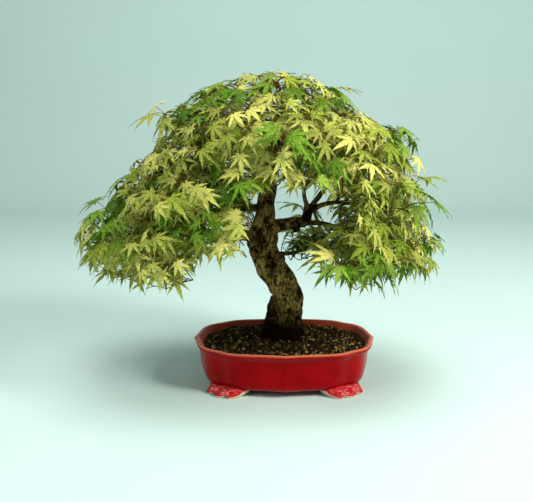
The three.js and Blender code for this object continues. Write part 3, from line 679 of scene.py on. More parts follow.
def glaze_material():
    """Deep red glaze, thin over edges, where the brown clay shows through, and paler and pinker on the feet,
    partly with painted highlight there and on their ribs.
    """
    f = Finish("glaze_red", Specular_IOR_Level=0.22, Specular_Tint=(1.0, 0.22, 0.22, 1.0))
    thin, bare, foot = f.parts(f.attribute("glaze"))[:3]
    cloud = f.noise(f.place(), 28.0, 3.0)
    specks = f.noise(f.place(), 900.0, 2.0)
    red = f.mix(f.between(cloud, 0.3, 0.7), (0.25, 0.0, 0.0006), (0.36, 0.0008, 0.0035))
    # The feet's pale pink blotches are partly paler glaze and partly painted highlight where light falls on
    # the feet.
    foot_mottle_and_sheen = f.between(f.noise(f.place(), 230.0, 3.0), 0.35, 0.65)
    pale = f.mix(foot_mottle_and_sheen, (0.42, 0.004, 0.008), (0.62, 0.07, 0.08))
    red = f.mix(f.maths("MULTIPLY", f.between(foot, 0.0, 1.0), 0.85), red, pale)
    # Painted highlight: the feet's raised ribs are pink.
    red = f.mix(f.between(foot, 1.1, 1.5), red, (0.72, 0.15, 0.15))
    clay = f.mix(f.between(specks, 0.35, 0.7), (0.31, 0.042, 0.02), (0.52, 0.105, 0.055))
    crest = f.between(thin, 0.93, 1.0)
    clay = f.mix(crest, clay, (0.74, 0.2, 0.11))
    edge = f.between(f.maths("ADD", thin, f.maths("MULTIPLY", cloud, 0.3)), 0.65, 0.95)
    cream = f.between(f.maths("ADD", bare, f.maths("MULTIPLY", specks, 0.2)), 0.75, 0.95)
    f.colour(f.mix(cream, f.mix(edge, red, clay), (0.74, 0.56, 0.38)))
    f.rough(edge, 0.28, 0.5)
    f.bump(f.noise(f.place(), 160.0, 3.0), 0.2, 0.4)
    return f.material


def soil_material():
    """Grains of baked clay, lava and pumice, from black to tan."""
    f = Finish("soil_grit", Roughness=0.9, Specular_IOR_Level=0.08)
    tone = f.parts(f.attribute("tone"))[0]
    ramp = f.add("ValToRGB", {"Fac": tone})
    stops = [
        (0.0, (0.004, 0.002, 0.0004)), (0.4, (0.016, 0.008, 0.001)), (0.6, (0.07, 0.036, 0.004)),
        (0.78, (0.2, 0.12, 0.018)), (0.92, (0.42, 0.29, 0.06)), (1.0, (0.7, 0.56, 0.22)),
    ]
    elements = ramp.color_ramp.elements
    while len(elements) < len(stops):
        elements.new(0.5)
    for element, (place, value) in zip(elements, stops):
        element.position = place
        element.color = (*value, 1.0)
    grain = f.noise(f.place(), 1500.0, 3.0)
    f.colour(f.mix(f.between(grain, 0.3, 0.75), ramp.outputs["Color"], (0.02, 0.014, 0.008)))
    f.bump(grain, 0.5)
    return f.material


def bark_material():
    """Tan-olive bark in long flakes over dark brown, darker where it is young, and with painted shade in its
    hollows, round its scars, towards its foot, on its left and over the twigs.
    """
    f = Finish("bark", Specular_IOR_Level=0.08, Specular_Tint=(0.9, 0.7, 0.3, 1.0))
    place = f.place()
    patches = f.noise(place, 75.0, 5.0, 0.65)
    flakes = f.noise(f.stretched(place, (1.0, 1.0, 0.22)), 420.0, 6.0, 0.75)
    fine = f.noise(f.stretched(place, (1.0, 1.0, 0.3)), 1300.0, 3.0)
    base = f.mix(f.between(flakes, 0.42, 0.58), (0.02, 0.009, 0.0006), (0.46, 0.31, 0.075))
    base = f.mix(f.maths("MULTIPLY", f.between(fine, 0.5, 0.72), 0.55), base, (0.85, 0.64, 0.27))
    base = f.mix(f.between(patches, 0.5, 0.4), base, (0.018, 0.008, 0.0006))
    # The wood attribute's first value darkens the bark: painted shade in hollows, round scars, towards the
    # foot, on the left and over the twigs, together with thin young wood's own darker bark.
    dark, young, _ = f.parts(f.attribute("wood"))[:3]
    base = f.mix(dark, base, (0.006, 0.003, 0.0005))
    f.colour(f.mix(young, base, (0.13, 0.075, 0.012)))
    f.rough(flakes, 0.95, 0.7)
    f.bump(f.maths("ADD", flakes, f.maths("MULTIPLY", fine, 0.5)), 1.3)
    return f.material


def screen_material():
    f = Finish("screen_plastic", Specular_IOR_Level=0.4)
    grain = f.noise(f.place(), 1200.0, 2.0)
    f.colour(f.mix(grain, (0.012, 0.014, 0.012), (0.03, 0.034, 0.03)))
    f.rough(grain, 0.5, 0.7)
    f.bump(grain, 0.05)
    return f.material


# ---- Pot ----


def pot_radius(angle, inset):
    """The pot's outline at a plan angle: an oblong with full corners, a small pointed lobe at the middle of
    each side and a soft dent at each corner."""
    c, s = np.abs(np.cos(angle)), np.abs(np.sin(angle))
    lengthwise = (c / (POT_HALF_LENGTH - inset)) ** POT_SQUARENESS
    widthwise = (s / (POT_HALF_WIDTH - inset)) ** POT_SQUARENESS
    oblong = (lengthwise + widthwise) ** (-1 / POT_SQUARENESS)
    from_middle = np.minimum(c, s) * oblong
    cusp = CUSP_HEIGHT * np.maximum(0, 1 - from_middle / CUSP_HALF_WIDTH) ** 2
    dent = DENT_DEPTH * np.exp(-(((np.arctan2(s, c) - DENT_ANGLE) / DENT_SPREAD) ** 2))
    return oblong + (cusp - dent) * np.minimum(1, (POT_HALF_WIDTH - inset) / (POT_HALF_WIDTH / 2))


def pot_points(angle, inset, z):
    radius = pot_radius(angle, inset)
    height = np.broadcast_to(z, np.shape(radius))
    return np.stack([radius * np.cos(angle), radius * np.sin(angle), height], -1)


POT_STEPS, DRAIN_STEPS = 288, 40
# Rows of inset, height, how thin the glaze is and how bare the clay is, from the underside's edge, up the
# wall, over the lip and down to the floor's edge.
POT_SECTION = [
    (24, 8.0, 0, 0.7), (22, 8.0, 0, 0.9), (20.4, 8.2, 0.2, 0.85), (17, 9.6, 0, 0.1), (14.4, 11.6, 0, 0),
    (12.2, 14.8, 0, 0), (10.8, 19, 0, 0), (9.8, 25, 0, 0), (8.8, 33, 0, 0), (8, 42, 0, 0), (7.5, 47.5, 0, 0),
    (6.7, 52, 0, 0), (5.4, 55.6, 0, 0), (3.6, 58.3, 0, 0), (1.7, 60, 0, 0), (0.5, 61.4, 0.1, 0),
    (0, 62.9, 0.45, 0), (0.3, 64.3, 0.8, 0), (1.1, 65.4, 1, 0), (2.2, 65.9, 1, 0), (4.6, 65.9, 0.95, 0),
    (5.9, 65.5, 1, 0), (6.9, 64.4, 0.8, 0), (8.4, 62.6, 0.85, 0), (11.5, 58.6, 0.95, 0), (12, 56, 0.9, 0),
    (14, 44, 0.8, 0), (17, 30, 0.7, 0), (21, 21, 0.7, 0), (24, 17, 0.7, 0), (28, 15, 0.7, 0),
]


def build_pot(material):
    shape = Shape()
    angles = 2 * math.pi * np.arange(POT_STEPS) / POT_STEPS
    rows = [pot_points(angles, inset, z) for inset, z, _, _ in POT_SECTION]
    values = [np.tile((thin, bare, 0.0), (POT_STEPS, 1)) for _, _, thin, bare in POT_SECTION]
    faces = ring_faces(len(rows), POT_STEPS)
    shape.add(np.vstack(rows), faces, glaze=np.vstack(values))
    add_drilled_plate(shape, rows[0], POT_UNDERSIDE, False)
    add_drilled_plate(shape, rows[-1], POT_FLOOR, True)
    for x in (-DRAIN_X, DRAIN_X):
        edge = drain_ring(x)
        low, high = (np.column_stack([edge, np.full(DRAIN_STEPS, z)]) for z in (POT_UNDERSIDE, POT_FLOOR))
        shape.add(np.vstack([high, low]), ring_faces(2, DRAIN_STEPS), glaze=(0.7, 0.6, 0))
    for quarter in range(4):
        add_foot(shape, quarter)
    shape.piece("pot_glazed", material, "glaze_red", ["pot"], sharp_above=50, merged=True)


def drain_ring(x):
    turn = 2 * math.pi * np.arange(DRAIN_STEPS) / DRAIN_STEPS
    return np.column_stack([x + DRAIN_RADIUS * np.cos(turn), DRAIN_RADIUS * np.sin(turn)])


def add_drilled_plate(shape, rim, z, faces_up):
    """A flat plate inside a rim, with the two drain holes in it."""
    outlines = [rim[:, :2], drain_ring(-DRAIN_X), drain_ring(DRAIN_X)]
    corners = [Vector(point) for outline in outlines for point in outline.tolist()]
    loops, first = [], 0
    for outline in outlines:
        loops.append(list(range(first, first + len(outline))))
        first += len(outline)
    edges = [(a, b) for loop in loops for a, b in zip(loop, loop[1:] + loop[:1])]
    points, _, faces, _, _, _ = delaunay_2d_cdt(corners, edges, [], 2, 1e-4)
    faces = [face if faces_up else face[::-1] for face in faces]
    shape.add([(point.x, point.y, z) for point in points], faces, glaze=(0.7, 0.7, 0))


# Feet: the plan angles from the pot's length that a foot spans, its lobes, the insets of its back, of its
# top's edge, of the start of its sloping face and of that face's foot, and its height.
FOOT_FROM, FOOT_TO, FOOT_LOBES = 0.4, 0.93, 3
FOOT_BACK, FOOT_TOP, FOOT_FACE, FOOT_EDGE, FOOT_HEIGHT = 26, 14, 13, 11, 13.5
FOOT_FLARE, FOOT_CORNER_FLARE, FOOT_NOTCH, FOOT_NOTCH_REACH = 4, 8, 2.4, 0.6
FOOT_END_SHARE, FOOT_END_LIFT, FOOT_END_DRAW = 0.2, 5, 4
FOOT_STEPS = 90
FOOT_LENGTH = 62
# Scrolls beside each notch: the notch's share of the span and the height of the scrolls' hearts.
SCROLLS = [(1 / FOOT_LOBES, 8.4), (2 / FOOT_LOBES, 6.7)]
SCROLL_OFFSET, SCROLL_RADIUS, SCROLL_STEPS = 3.6, 2.9, 22
RIB_RADIUS, BEAD_RADIUS = 0.75, 0.95


def foot_section(share):
    """Rows of inset, height, thinness of the glaze and bareness, round a foot at shares of its span.
    It flares from the wall to a scalloped edge on the ground, and its two ends draw in and rise."""
    scallop = np.abs(np.sin(math.pi * FOOT_LOBES * share)) ** 0.8
    end = np.maximum(0, 1 - np.minimum(share, 1 - share) / FOOT_END_SHARE)
    lift = FOOT_NOTCH * np.maximum(0, 1 - scallop / FOOT_NOTCH_REACH) + FOOT_END_LIFT * end * end
    corner = FOOT_CORNER_FLARE * np.sin(math.pi * share)
    edge = FOOT_EDGE - FOOT_FLARE * scallop - corner + FOOT_END_DRAW * end
    top = FOOT_HEIGHT - 3.5 * end
    level = np.zeros_like(share)

    def down(part):
        """The inset at a part of the way down the sloping face."""
        return FOOT_FACE + part * (edge - FOOT_FACE)

    return [
        (FOOT_BACK + level, lift, 0, 0.9),
        (FOOT_BACK + level, 10 + level, 0, 0.2),
        (FOOT_TOP + level, top, 0, 0),
        (down(0.12), top - 1.6, 0, 0),
        (down(0.4), top - 3.2 + 0.3 * lift, 0, 0),
        (down(0.72), 0.55 * top + 0.5 * lift, 0.05, 0),
        (down(0.93), 4.6 + 0.9 * lift, 0.1, 0),
        (edge, 2.9 + lift, 0.3, 0.3),
        (edge - 0.2, 1.9 + lift, 0.5, 1.0),
        (edge + 0.2, 0.7 + lift, 0.6, 1.0),
        (edge + 1.2, lift, 0.5, 1.0),
    ]


def add_foot(shape, quarter):
    """A cloud foot round one corner of the pot. Beads and spiral ribs lie on it beside each notch."""
    mirrored = quarter % 2 == 1
    share = np.linspace(0, 1, FOOT_STEPS + 1)
    section = foot_section(share)
    rows = [foot_points(quarter, share, inset, z) for inset, z, _, _ in section]
    values = [np.tile((thin, bare, 1.0), (len(share), 1)) for _, _, thin, bare in section]
    count, width = len(section), len(share)
    faces = [
        (i * width + k, i * width + k + 1, (i + 1) % count * width + k + 1, (i + 1) % count * width + k)
        for i in range(count)
        for k in range(width - 1)
    ]
    faces.append(tuple(i * width for i in range(count)))
    faces.append(tuple(i * width + width - 1 for i in range(count - 1, -1, -1)))
    if not mirrored:
        faces = [face[::-1] for face in faces]
    shape.add(np.vstack(rows), faces, glaze=np.vstack(values))
    for notch, height in SCROLLS:
        for side in (-1, 1):
            add_scroll(shape, quarter, notch, height, side)


def foot_points(quarter, share, inset, z):
    """Points at shares of a foot's span, which runs from the pot's end to its long side in each quarter."""
    angle = FOOT_FROM + (FOOT_TO - FOOT_FROM) * share
    points = pot_points(angle, inset, z)
    across = (1, -1, -1, 1)[quarter]
    deep = (1, 1, -1, -1)[quarter]
    return points * (across, deep, 1)


def on_foot(quarter, share, z, proud):
    """A point on a foot's sloping face, raised by a distance."""
    rows = foot_section(np.array([share]))[2:8]
    heights = [row[1][0] for row in rows][::-1]
    insets = [row[0][0] for row in rows][::-1]
    inset = np.interp(z, heights, insets) - proud
    return foot_points(quarter, np.array([share]), np.array([inset]), np.array([z]))[0]


def add_scroll(shape, quarter, notch, height, side):
    """A raised rib that comes down a lobe, hooks round beside the notch and ends at a bead."""
    heart = notch + side * SCROLL_OFFSET / FOOT_LENGTH
    rows = []
    for rise in (1.0, 0.67, 0.34):
        share = heart + side * (0.9 + 5.0 * rise) / FOOT_LENGTH
        z = min(11.8, height + SCROLL_RADIUS * (1 + 0.35 * rise))
        rows.append((*on_foot(quarter, share, z, 0.1), RIB_RADIUS * (1.1 - 0.5 * rise)))
    for i in range(SCROLL_STEPS + 1):
        along = i / SCROLL_STEPS
        turn = math.pi * (0.4 + 1.9 * along)
        reach = SCROLL_RADIUS * (1 - 0.6 * along)
        share = heart + side * reach * math.cos(turn) / FOOT_LENGTH
        z = height + reach * math.sin(turn)
        rows.append((*on_foot(quarter, share, z, 0.15), RIB_RADIUS * (1.1 - 0.4 * along)))
    points, faces = tube(smooth_path(rows, 2), 7)
    shape.add(points, faces, glaze=(0.3, 0.25, 1.6))
    points, faces = ball(on_foot(quarter, heart, height, 0.35), BEAD_RADIUS, 12, 8)
    shape.add(points, faces, glaze=(0.6, 0.95, 1.0))


def ball(middle, radius, turns, rings):
    points = [middle + np.array([0, 0, radius])]
    for i in range(1, rings):
        polar = math.pi * i / rings
        for k in range(turns):
            turn = 2 * math.pi * k / turns
            offset = [math.sin(polar) * math.cos(turn), math.sin(polar) * math.sin(turn), math.cos(polar)]
            points.append(middle + radius * np.array(offset))
    points.append(middle - np.array([0, 0, radius]))
    faces = [(0, 1 + k, 1 + (k + 1) % turns) for k in range(turns)]
    for i in range(rings - 2):
        row = 1 + i * turns
        for k in range(turns):
            n = (k + 1) % turns
            faces.append((row + k, row + turns + k, row + turns + n, row + n))
    row, last = 1 + (rings - 2) * turns, len(points) - 1
    faces.extend((last, row + (k + 1) % turns, row + k) for k in range(turns))
    return np.array(points), faces


# ---- Soil ----

SOIL_GRAINS, SOIL_SEED = 4800, 77
GRAIN_RADII, GRAIN_INSET, GRAIN_IN_TRUNK = (1.2, 2.7), 12.8, 4
SOIL_STEPS = 96
# Rings of the bed as inset and height, from its underside up. The last ones follow the mound.
SOIL_WALL = [(28.7, 15.35), (17.7, 30.35), (12.4, 55.5), (14, 56.5)]
SOIL_TOP_INSETS = (20, 32, 50, 75)


def soil_height(x, y):
    from_trunk = math.hypot(x - TRUNK_X, y - TRUNK_Y)
    swell = 1.6 * noise.noise(Vector((x / 30, y / 30, 3.0)))
    return SOIL_EDGE_Z - 1.2 + SOIL_MOUND * math.exp(-((from_trunk / SOIL_MOUND_SPREAD) ** 2)) + swell


def soil_bed():
    angles = 2 * math.pi * np.arange(SOIL_STEPS) / SOIL_STEPS
    rings = [pot_points(angles, inset, z) for inset, z in SOIL_WALL]
    for inset in SOIL_TOP_INSETS:
        ring = pot_points(angles, inset, 0.0)
        ring[:, 2] = [soil_height(x, y) for x, y, _ in ring]
        rings.append(ring)
    return np.vstack(rings), capped_faces(len(rings), SOIL_STEPS)


def grain_points(corners, random):
    """The corners of a grain, stretched, roughened, tipped and turned at random, and its size."""
    size = GRAIN_RADII[0] + (GRAIN_RADII[1] - GRAIN_RADII[0]) * random() ** 1.6
    stretch = np.array([0.75 + 0.5 * random(), 0.75 + 0.5 * random(), 0.6 + 0.4 * random()])
    rough = np.array([0.8 + 0.4 * random() for _ in range(len(corners))])
    turn = 2 * math.pi * random()
    spin = np.array([[math.cos(turn), -math.sin(turn), 0], [math.sin(turn), math.cos(turn), 0], [0, 0, 1]])
    lean = (random() - 0.5) * 1.2
    tip = np.array([[1, 0, 0], [0, math.cos(lean), -math.sin(lean)], [0, math.sin(lean), math.cos(lean)]])
    return (corners * stretch * rough[:, None] * size) @ tip.T @ spin.T, size


def build_soil(material):
    """A bed with loose grains over it."""
    shape = Shape()
    shape.add(*soil_bed(), tone=(0.15, 0, 0))
    random = random_source(SOIL_SEED)
    corners, sides = ball(np.zeros(3), 1.0, 5, 3)
    placed = 0
    while placed < SOIL_GRAINS:
        x = POT_HALF_LENGTH * (2 * random() - 1)
        y = POT_HALF_WIDTH * (2 * random() - 1)
        in_wall = math.hypot(x, y) > pot_radius(math.atan2(y, x), GRAIN_INSET)
        if in_wall or math.hypot(x - TRUNK_X, y - TRUNK_Y) < ROOT_RADIUS - GRAIN_IN_TRUNK:
            continue
        grain, size = grain_points(corners, random)
        height = soil_height(x, y) + size * (0.9 * random() - 0.35)
        tone = min(1.0, random() ** 1.25 * 1.02)
        shape.add(grain + (x, y, height), sides, tone=(tone, 0, 0))
        placed += 1
    shape.piece("soil_grains", material, "soil_grit", ["soil"], sharp_above=25)


# ---- Wood ----

BARK_VOXEL = 1.1
# Pruning scars and burrs as place and radius.
SCARS = [
    ((5, -11, 89), 11), ((20, 0, 128), 6.5), ((6, -3, 136), 7.0), ((-18, -3, 176), 5.5), ((-40, -1, 192), 6),
    ((-30, -4, 214), 7.5), ((-22, 30, 110), 8), ((14, 38, 92), 9), ((-24, 38, 168), 7), ((-40, 34, 200), 7),
]
# Buttresses as points and radius, from the trunk's foot down into the soil.
ROOTS = [
    [(-12, 12, 92, 15), (-22, 8, 76, 11), (-31, 4, 62, 7), (-36, 2, 52, 4)],
    [(-6, 4, 84, 14), (-10, -6, 70, 9), (-13, -14, 58, 6)],
    [(8, 6, 84, 13), (14, -5, 70, 9), (18, -14, 58, 6)],
    [(12, 16, 82, 13), (22, 14, 68, 8), (29, 13, 56, 5)],
    [(6, 30, 84, 12), (13, 41, 68, 8), (17, 47, 56, 5)],
    [(-12, 30, 84, 12), (-20, 40, 68, 8), (-26, 45, 56, 5)],
]
RIDGE_STEPS = 6
# Branches keep their place but are a little slimmer than the solid.
BRANCH_SLIMNESS = 0.8
STOUT_LIMBS = ("trunk", "leader", "knobLow", "knobHigh", "scarLeft", "left", "right", "rightStub")
RIDGED_LIMBS = ("trunk", "leader")
FULL_BARK_RADIUS = 18
SCAR_REACH = 1.8
# Twigs: radius at the start, at the base and where the stem is young, of the source's shoots and finer ones.
SOURCE_TWIG, FINE_TWIG = (1.6, 1.0, 0.8), (0.9, 0.55, 0.5)
TWIG_SEED, TWIG_SWAY, JOINT_SPACING = 4000, 3.0, 22


def tree_skin():
    """The limbs and buttresses melted into one skin, as points, normals and faces."""
    shape = Shape()
    for name, points in LIMBS.items():
        path = smooth_path(points, RIDGE_STEPS)
        if name not in STOUT_LIMBS:
            path[:, 3] *= BRANCH_SLIMNESS
        shape.add(*(tube(path, 40, 0.05) if name in RIDGED_LIMBS else tube(path, 14)))
    for points in ROOTS:
        shape.add(*tube(smooth_path(points, RIDGE_STEPS), 16, 0.06))
    mesh = bpy.data.meshes.new("tree_skin")
    mesh.from_pydata((np.vstack(shape.points) / METRE).tolist(), [], shape.faces)
    skin = bpy.data.objects.new("tree_skin", mesh)
    bpy.context.scene.collection.objects.link(skin)
    remesh = skin.modifiers.new("skin", "REMESH")
    remesh.mode = "VOXEL"
    remesh.voxel_size = BARK_VOXEL / METRE
    soften = skin.modifiers.new("soften", "SMOOTH")
    soften.factor = 0.5
    soften.iterations = 4
    solid = bpy.data.meshes.new_from_object(skin.evaluated_get(bpy.context.evaluated_depsgraph_get()))
    bpy.data.objects.remove(skin)
    places, normals = (np.empty(len(solid.vertices) * 3, np.float32) for _ in range(2))
    solid.vertices.foreach_get("co", places)
    solid.vertices.foreach_get("normal", normals)
    faces = [tuple(polygon.vertices) for polygon in solid.polygons]
    bpy.data.meshes.remove(solid)
    return places.reshape(-1, 3) * METRE, normals.reshape(-1, 3), faces


def wood_radii(places):
    """At each place, the radius of the nearest limb or buttress."""
    balls = np.vstack([balls_along(points, 3) for points in [*LIMBS.values(), *ROOTS]])
    tree = kdtree.KDTree(len(balls))
    for i, row in enumerate(balls):
        tree.insert(row[:3], i)
    tree.balance()
    return [balls[tree.find(place)[1]][3] for place in places]


def hill(value, middle, width):
    return math.exp(-(((value - middle) / width) ** 2))


def bark_relief(place, radius):
    """How far the bark stands out at a place, and how dark it is painted there: painted shade in its hollows,
    round its scars, towards its foot and on its left, added to the darker bark of thin, young wood.
    """
    x, y, z = place
    girth = min(1.0, radius / FULL_BARK_RADIUS)
    knobs = noise.noise(Vector((x / 21, y / 21, z / 24)))
    furrows = noise.noise(Vector((x / 5.5, y / 5.5, z / 26 + 9)))
    flakes = noise.noise(Vector((x / 2.3, y / 2.3, z / 6)))
    push = girth * (3.0 * knobs + 1.5 * furrows + 0.5 * flakes) + 0.12 * flakes
    # Painted shade: the bark is darker where the knobs sink it into hollows.
    dark = max(0.0, min(1.0, -1.8 * knobs - 0.2))
    for scar, size in SCARS:
        off = math.dist(place, scar) / size
        if off < SCAR_REACH:
            push += 1.7 * hill(off, 1.0, 0.3) - 2.0 * hill(off, 0, 0.55)
            push += 0.5 * math.sin(off * 15) * max(0.0, 1 - off)
            # Painted shade in each scar's sunken middle and in the crease just outside its rolled rim.
            dark = max(dark, 0.9 * hill(off, 0, 0.6), 0.7 * hill(off, 1.35, 0.16))
    # Painted shade: the bark darkens towards the trunk's foot, more so on its left side, away from the key
    # light.
    painted_shade_low_left = max(0.0, min(1.0, (118 - 0.5 * x - z) / 50))
    return push, min(1.0, 0.95 * max(dark, painted_shade_low_left) + 0.8 * (1 - girth))


def build_wood(material):
    """Roots, trunk and branches as one skin with bark relief."""
    places, normals, faces = tree_skin()
    painted_shade_and_youth = np.zeros((len(places), 3))
    for i, radius in enumerate(wood_radii(places)):
        push, painted_shade_and_youth[i, 0] = bark_relief(places[i], radius)
        places[i] += normals[i] * push
    shape = Shape()
    shape.add(places, faces, wood=painted_shade_and_youth)
    shape.piece("tree_wood", material, "bark", ["tree"])


def build_twigs(shoots, material):
    shape = Shape()
    for index, shoot in enumerate(shoots):
        add_twig(shape, shoot, random_source(TWIG_SEED + index))
    shape.piece("twigs", material, "bark")


def add_twig(shape, shoot, random):
    """A twig with small bends and swollen joints, and the brown stem beyond it up to its last leaves."""
    start, neck, base = (np.array(point[:3]) for point in shoot["twig"])
    thick, thin, young = SOURCE_TWIG if "name" in shoot else FINE_TWIG
    along = neck - start
    length = math.sqrt(along @ along)
    side = unit(np.cross(along, UP + 0.01))
    rows = []
    joints = max(2, round(length / JOINT_SPACING))
    for i in range(joints):
        share = i / joints
        sway = (random() - 0.5) * TWIG_SWAY * math.sin(math.pi * share)
        lift = (random() - 0.5) * TWIG_SWAY * math.sin(math.pi * share)
        rows.append((*(start + along * share + side * sway + UP * lift), thick + (thin - thick) * share))
    rows.append((*neck, thin))
    rows.append((*base, thin))
    path = smooth_path(rows, 3)
    joint = np.arange(len(path)) % 3 == 0
    path[:, 3] *= np.where(joint, 1.14, 0.96)
    # The twigs' bark is darkened with painted shade, as twigs look inside the crown, over their own darker
    # young bark.
    shape.add(*tube(path, 6), wood=(0.7, 0.2, 0.0))
    first, second = shoot["nodes"]
    bud = second + unit(second - first) * 3
    stem = [(*(base - shoot["heading"]), thin), (*first, young), (*second, 0.85 * young), (*bud, 0.5 * young)]
    path = smooth_path(stem, 4)
    path[4, 3] *= 1.35
    path[8, 3] *= 1.4
    shape.add(*tube(path, 5), wood=(0.3, 0.6, 0.0))


# ---- Leaves ----

EDGE_SHARES = [0.12, 0.24, 0.36, 0.48, 0.6, 0.71, 0.81, 0.9]
# The two small lobes beside the stalk, as angle and length like the others.
BASAL_ANGLE, BASAL_SHARE = 2.2, 0.25
CUT_SHARE, LOBE_HALF_SHARE, RIB_FROM = 0.2, 0.08, 0.17
LEAF_SHEET = 0.36
FORMS, FORM_SEED = 12, 300
LOOK_SEED, LOOK_SEED_STEP = 700, 17


def leaf_form(seed):
    """A blade of length 1 as rows of right, forward, up, across and along, and the faces of a sheet of it."""
    random = random_source(seed)

    def vary(spread):
        return spread * (2 * random() - 1)

    fold = 0.22 + vary(0.12)
    plain = [(-BASAL_ANGLE, BASAL_SHARE), *LOBES, (BASAL_ANGLE, BASAL_SHARE)]
    lobes = [(angle + vary(0.06), share * (1 + vary(0.07))) for angle, share in plain][::-1]
    rows = [(0, 0, 0, 0, 0)]
    faces, outline = [], []

    def point(right, forward, up, across, along):
        rows.append((right, forward, up, across, along))
        return len(rows) - 1

    def notch(one, two):
        between = (one[0] + two[0]) / 2
        depth = CUT_SHARE * max(0.45, min(one[1], two[1]))
        return point(math.sin(between) * depth, math.cos(between) * depth, 0.012, 1, 0.2)

    heel_right = point(0.022, -0.03, 0.0, 0.5, 0.0)
    notches = [heel_right, *(notch(one, two) for one, two in zip(lobes, lobes[1:]))]
    heel_left = point(-0.022, -0.03, 0.0, 0.5, 0.0)
    notches.append(heel_left)
    outline.append(heel_right)
    for (angle, share), before, after in zip(lobes, notches, notches[1:]):
        width = LOBE_HALF_SHARE * (1 + vary(0.14))
        bend, curl = vary(0.24), 0.13 + vary(0.1)
        ahead = np.array([math.sin(angle), math.cos(angle)])
        beside = np.array([math.cos(angle), -math.sin(angle)])

        def height(along):
            return -LOBE_DROOP * share * along**1.5 - curl * share * along**3

        def lobe_point(along, across, side):
            sway = bend * share * along * along * 0.5
            right, forward = ahead * along * share + beside * (side * across + sway)
            lift = fold * across + 0.012 * math.sin(along * 19 + side)
            return point(right, forward, height(along) + lift, side * min(1, across / (width * share)), along)

        ribs = [lobe_point(RIB_FROM, 0.0, 1)]
        edges = {1: [before], -1: [after]}
        corners = {side: np.array(rows[edges[side][0]][:2]) for side in (1, -1)}
        for i, q in enumerate(EDGE_SHARES):
            ribs.append(lobe_point(RIB_FROM + 0.83 * q, 0.0, 1))
            for side in (1, -1):
                from_along = corners[side] @ ahead / share
                from_across = abs(corners[side] @ beside)
                along = from_along + (1 - from_along) * q
                full = from_across * (1 - q) + width * share * math.sin(math.pi * q**0.85)
                across = full * (1 - q) ** 0.5 * (1.15 if i % 2 else 0.88)
                edges[side].append(lobe_point(along, across, side))
        tip = lobe_point(1.0, 0.0, 1)
        ribs.append(tip)
        for side in (1, -1):
            edges[side].append(tip)
        faces.append((0, before, ribs[0]))
        faces.append((0, ribs[0], after))
        for k in range(len(ribs) - 1):
            right_face = (edges[1][k], edges[1][k + 1], ribs[k + 1], ribs[k])
            left_face = (ribs[k], ribs[k + 1], edges[-1][k + 1], edges[-1][k])
            faces.extend(tuple(dict.fromkeys(face)) for face in (right_face, left_face))
        outline.extend(edges[1][1:])
        outline.extend(edges[-1][-2:0:-1])
        outline.append(after)
    faces.append((0, heel_left, heel_right))
    count = len(rows)
    under = [tuple(i + count for i in face[::-1]) for face in faces]
    rim = [(b, a, a + count, b + count) for a, b in zip(outline, outline[1:] + outline[:1])]
    return np.array(rows, float), faces + under + rim


def add_leaf(shape, leaf, form, random, warmth):
    """Add a leaf's blade to a shape, and give its stalk as points and faces."""
    rows, faces = form
    axes = np.stack([leaf["right"], leaf["forward"], leaf["up"]])
    top = leaf["centre"] + leaf["length"] * rows[:, :3] @ axes
    under = top - leaf["up"] * LEAF_SHEET
    blade = np.column_stack([rows[:, 3], rows[:, 4], np.zeros(len(rows))])
    offset = 50 * random()
    streak = np.column_stack([rows[:, 3] * 4, rows[:, 4] * 40, np.full(len(rows), offset)])
    tone = (random(), warmth * random(), 0.25 + 0.75 * random())
    shape.add(
        np.vstack([top, under]), faces,
        blade=np.vstack([blade, blade]), streak=np.vstack([streak, streak]), tone=tone,
    )
    node, centre = leaf["node"], leaf["centre"] - leaf["up"] * 0.2
    along = centre - node
    sag = leaf["above"] * 0.08 * math.sqrt(along @ along)
    early, late = ((*(node + along * share + sag), radius) for share, radius in ((0.3, 0.42), (0.7, 0.4)))
    return tube(smooth_path([(*node, 0.6), early, late, (*centre, 0.55)], 2), 6)


def is_green(index, shoot):
    """Every third of the source's shoots is plain green, and so are the finer ones in the green spots."""
    if "name" in shoot:
        return index % 3 == 0
    x, _, z = shoot["base"]
    return any(math.hypot(x - spot_x, z - spot_z) < radius for spot_x, spot_z, radius in GREEN_SPOTS)


def nearest_pad(shoot):
    return min(PADS, key=lambda pad: math.dist(pad[2], shoot["base"]))[0]


def build_foliage(shoots, leaf_finishes, stalk_finish):
    """For each pad, a piece of leaves in each of the two colours and a piece of their stalks."""
    forms = [leaf_form(FORM_SEED + i) for i in range(FORMS)]
    members = {pad[0]: [] for pad in PADS}
    for index, shoot in enumerate(shoots):
        members[nearest_pad(shoot)].append((index, shoot))
    for pad, shoots_here in members.items():
        blades = {True: Shape(), False: Shape()}
        nodes = {True: [], False: []}
        stalks = Shape()
        for index, shoot in shoots_here:
            random = random_source(LOOK_SEED + LOOK_SEED_STEP * index)
            green = is_green(index, shoot)
            if "name" in shoot:
                nodes[green].append(shoot["name"])
            warmth = min(1.0, max(0.15, (shoot["base"][2] - 300) / 110))
            for leaf in shoot["leaves"]:
                form = forms[int(random() * FORMS)]
                stalks.add(*add_leaf(blades[green], leaf, form, random, warmth), wood=(0.0, 1.0, 0.0))
        for green, shape in blades.items():
            slot = "leaf_green" if green else "leaf_variegated"
            if shape.count:
                name = f"leaves_{pad}_{slot[5:]}"
                shape.piece(name, leaf_finishes[green], slot, nodes[green], sharp_above=55)
        if stalks.count:
            stalks.piece(f"stalks_{pad}", stalk_finish, "bark")


# ---- Making ----

shoots, wood = grow_crown()
shoots += fill_crown(shoots, wood)

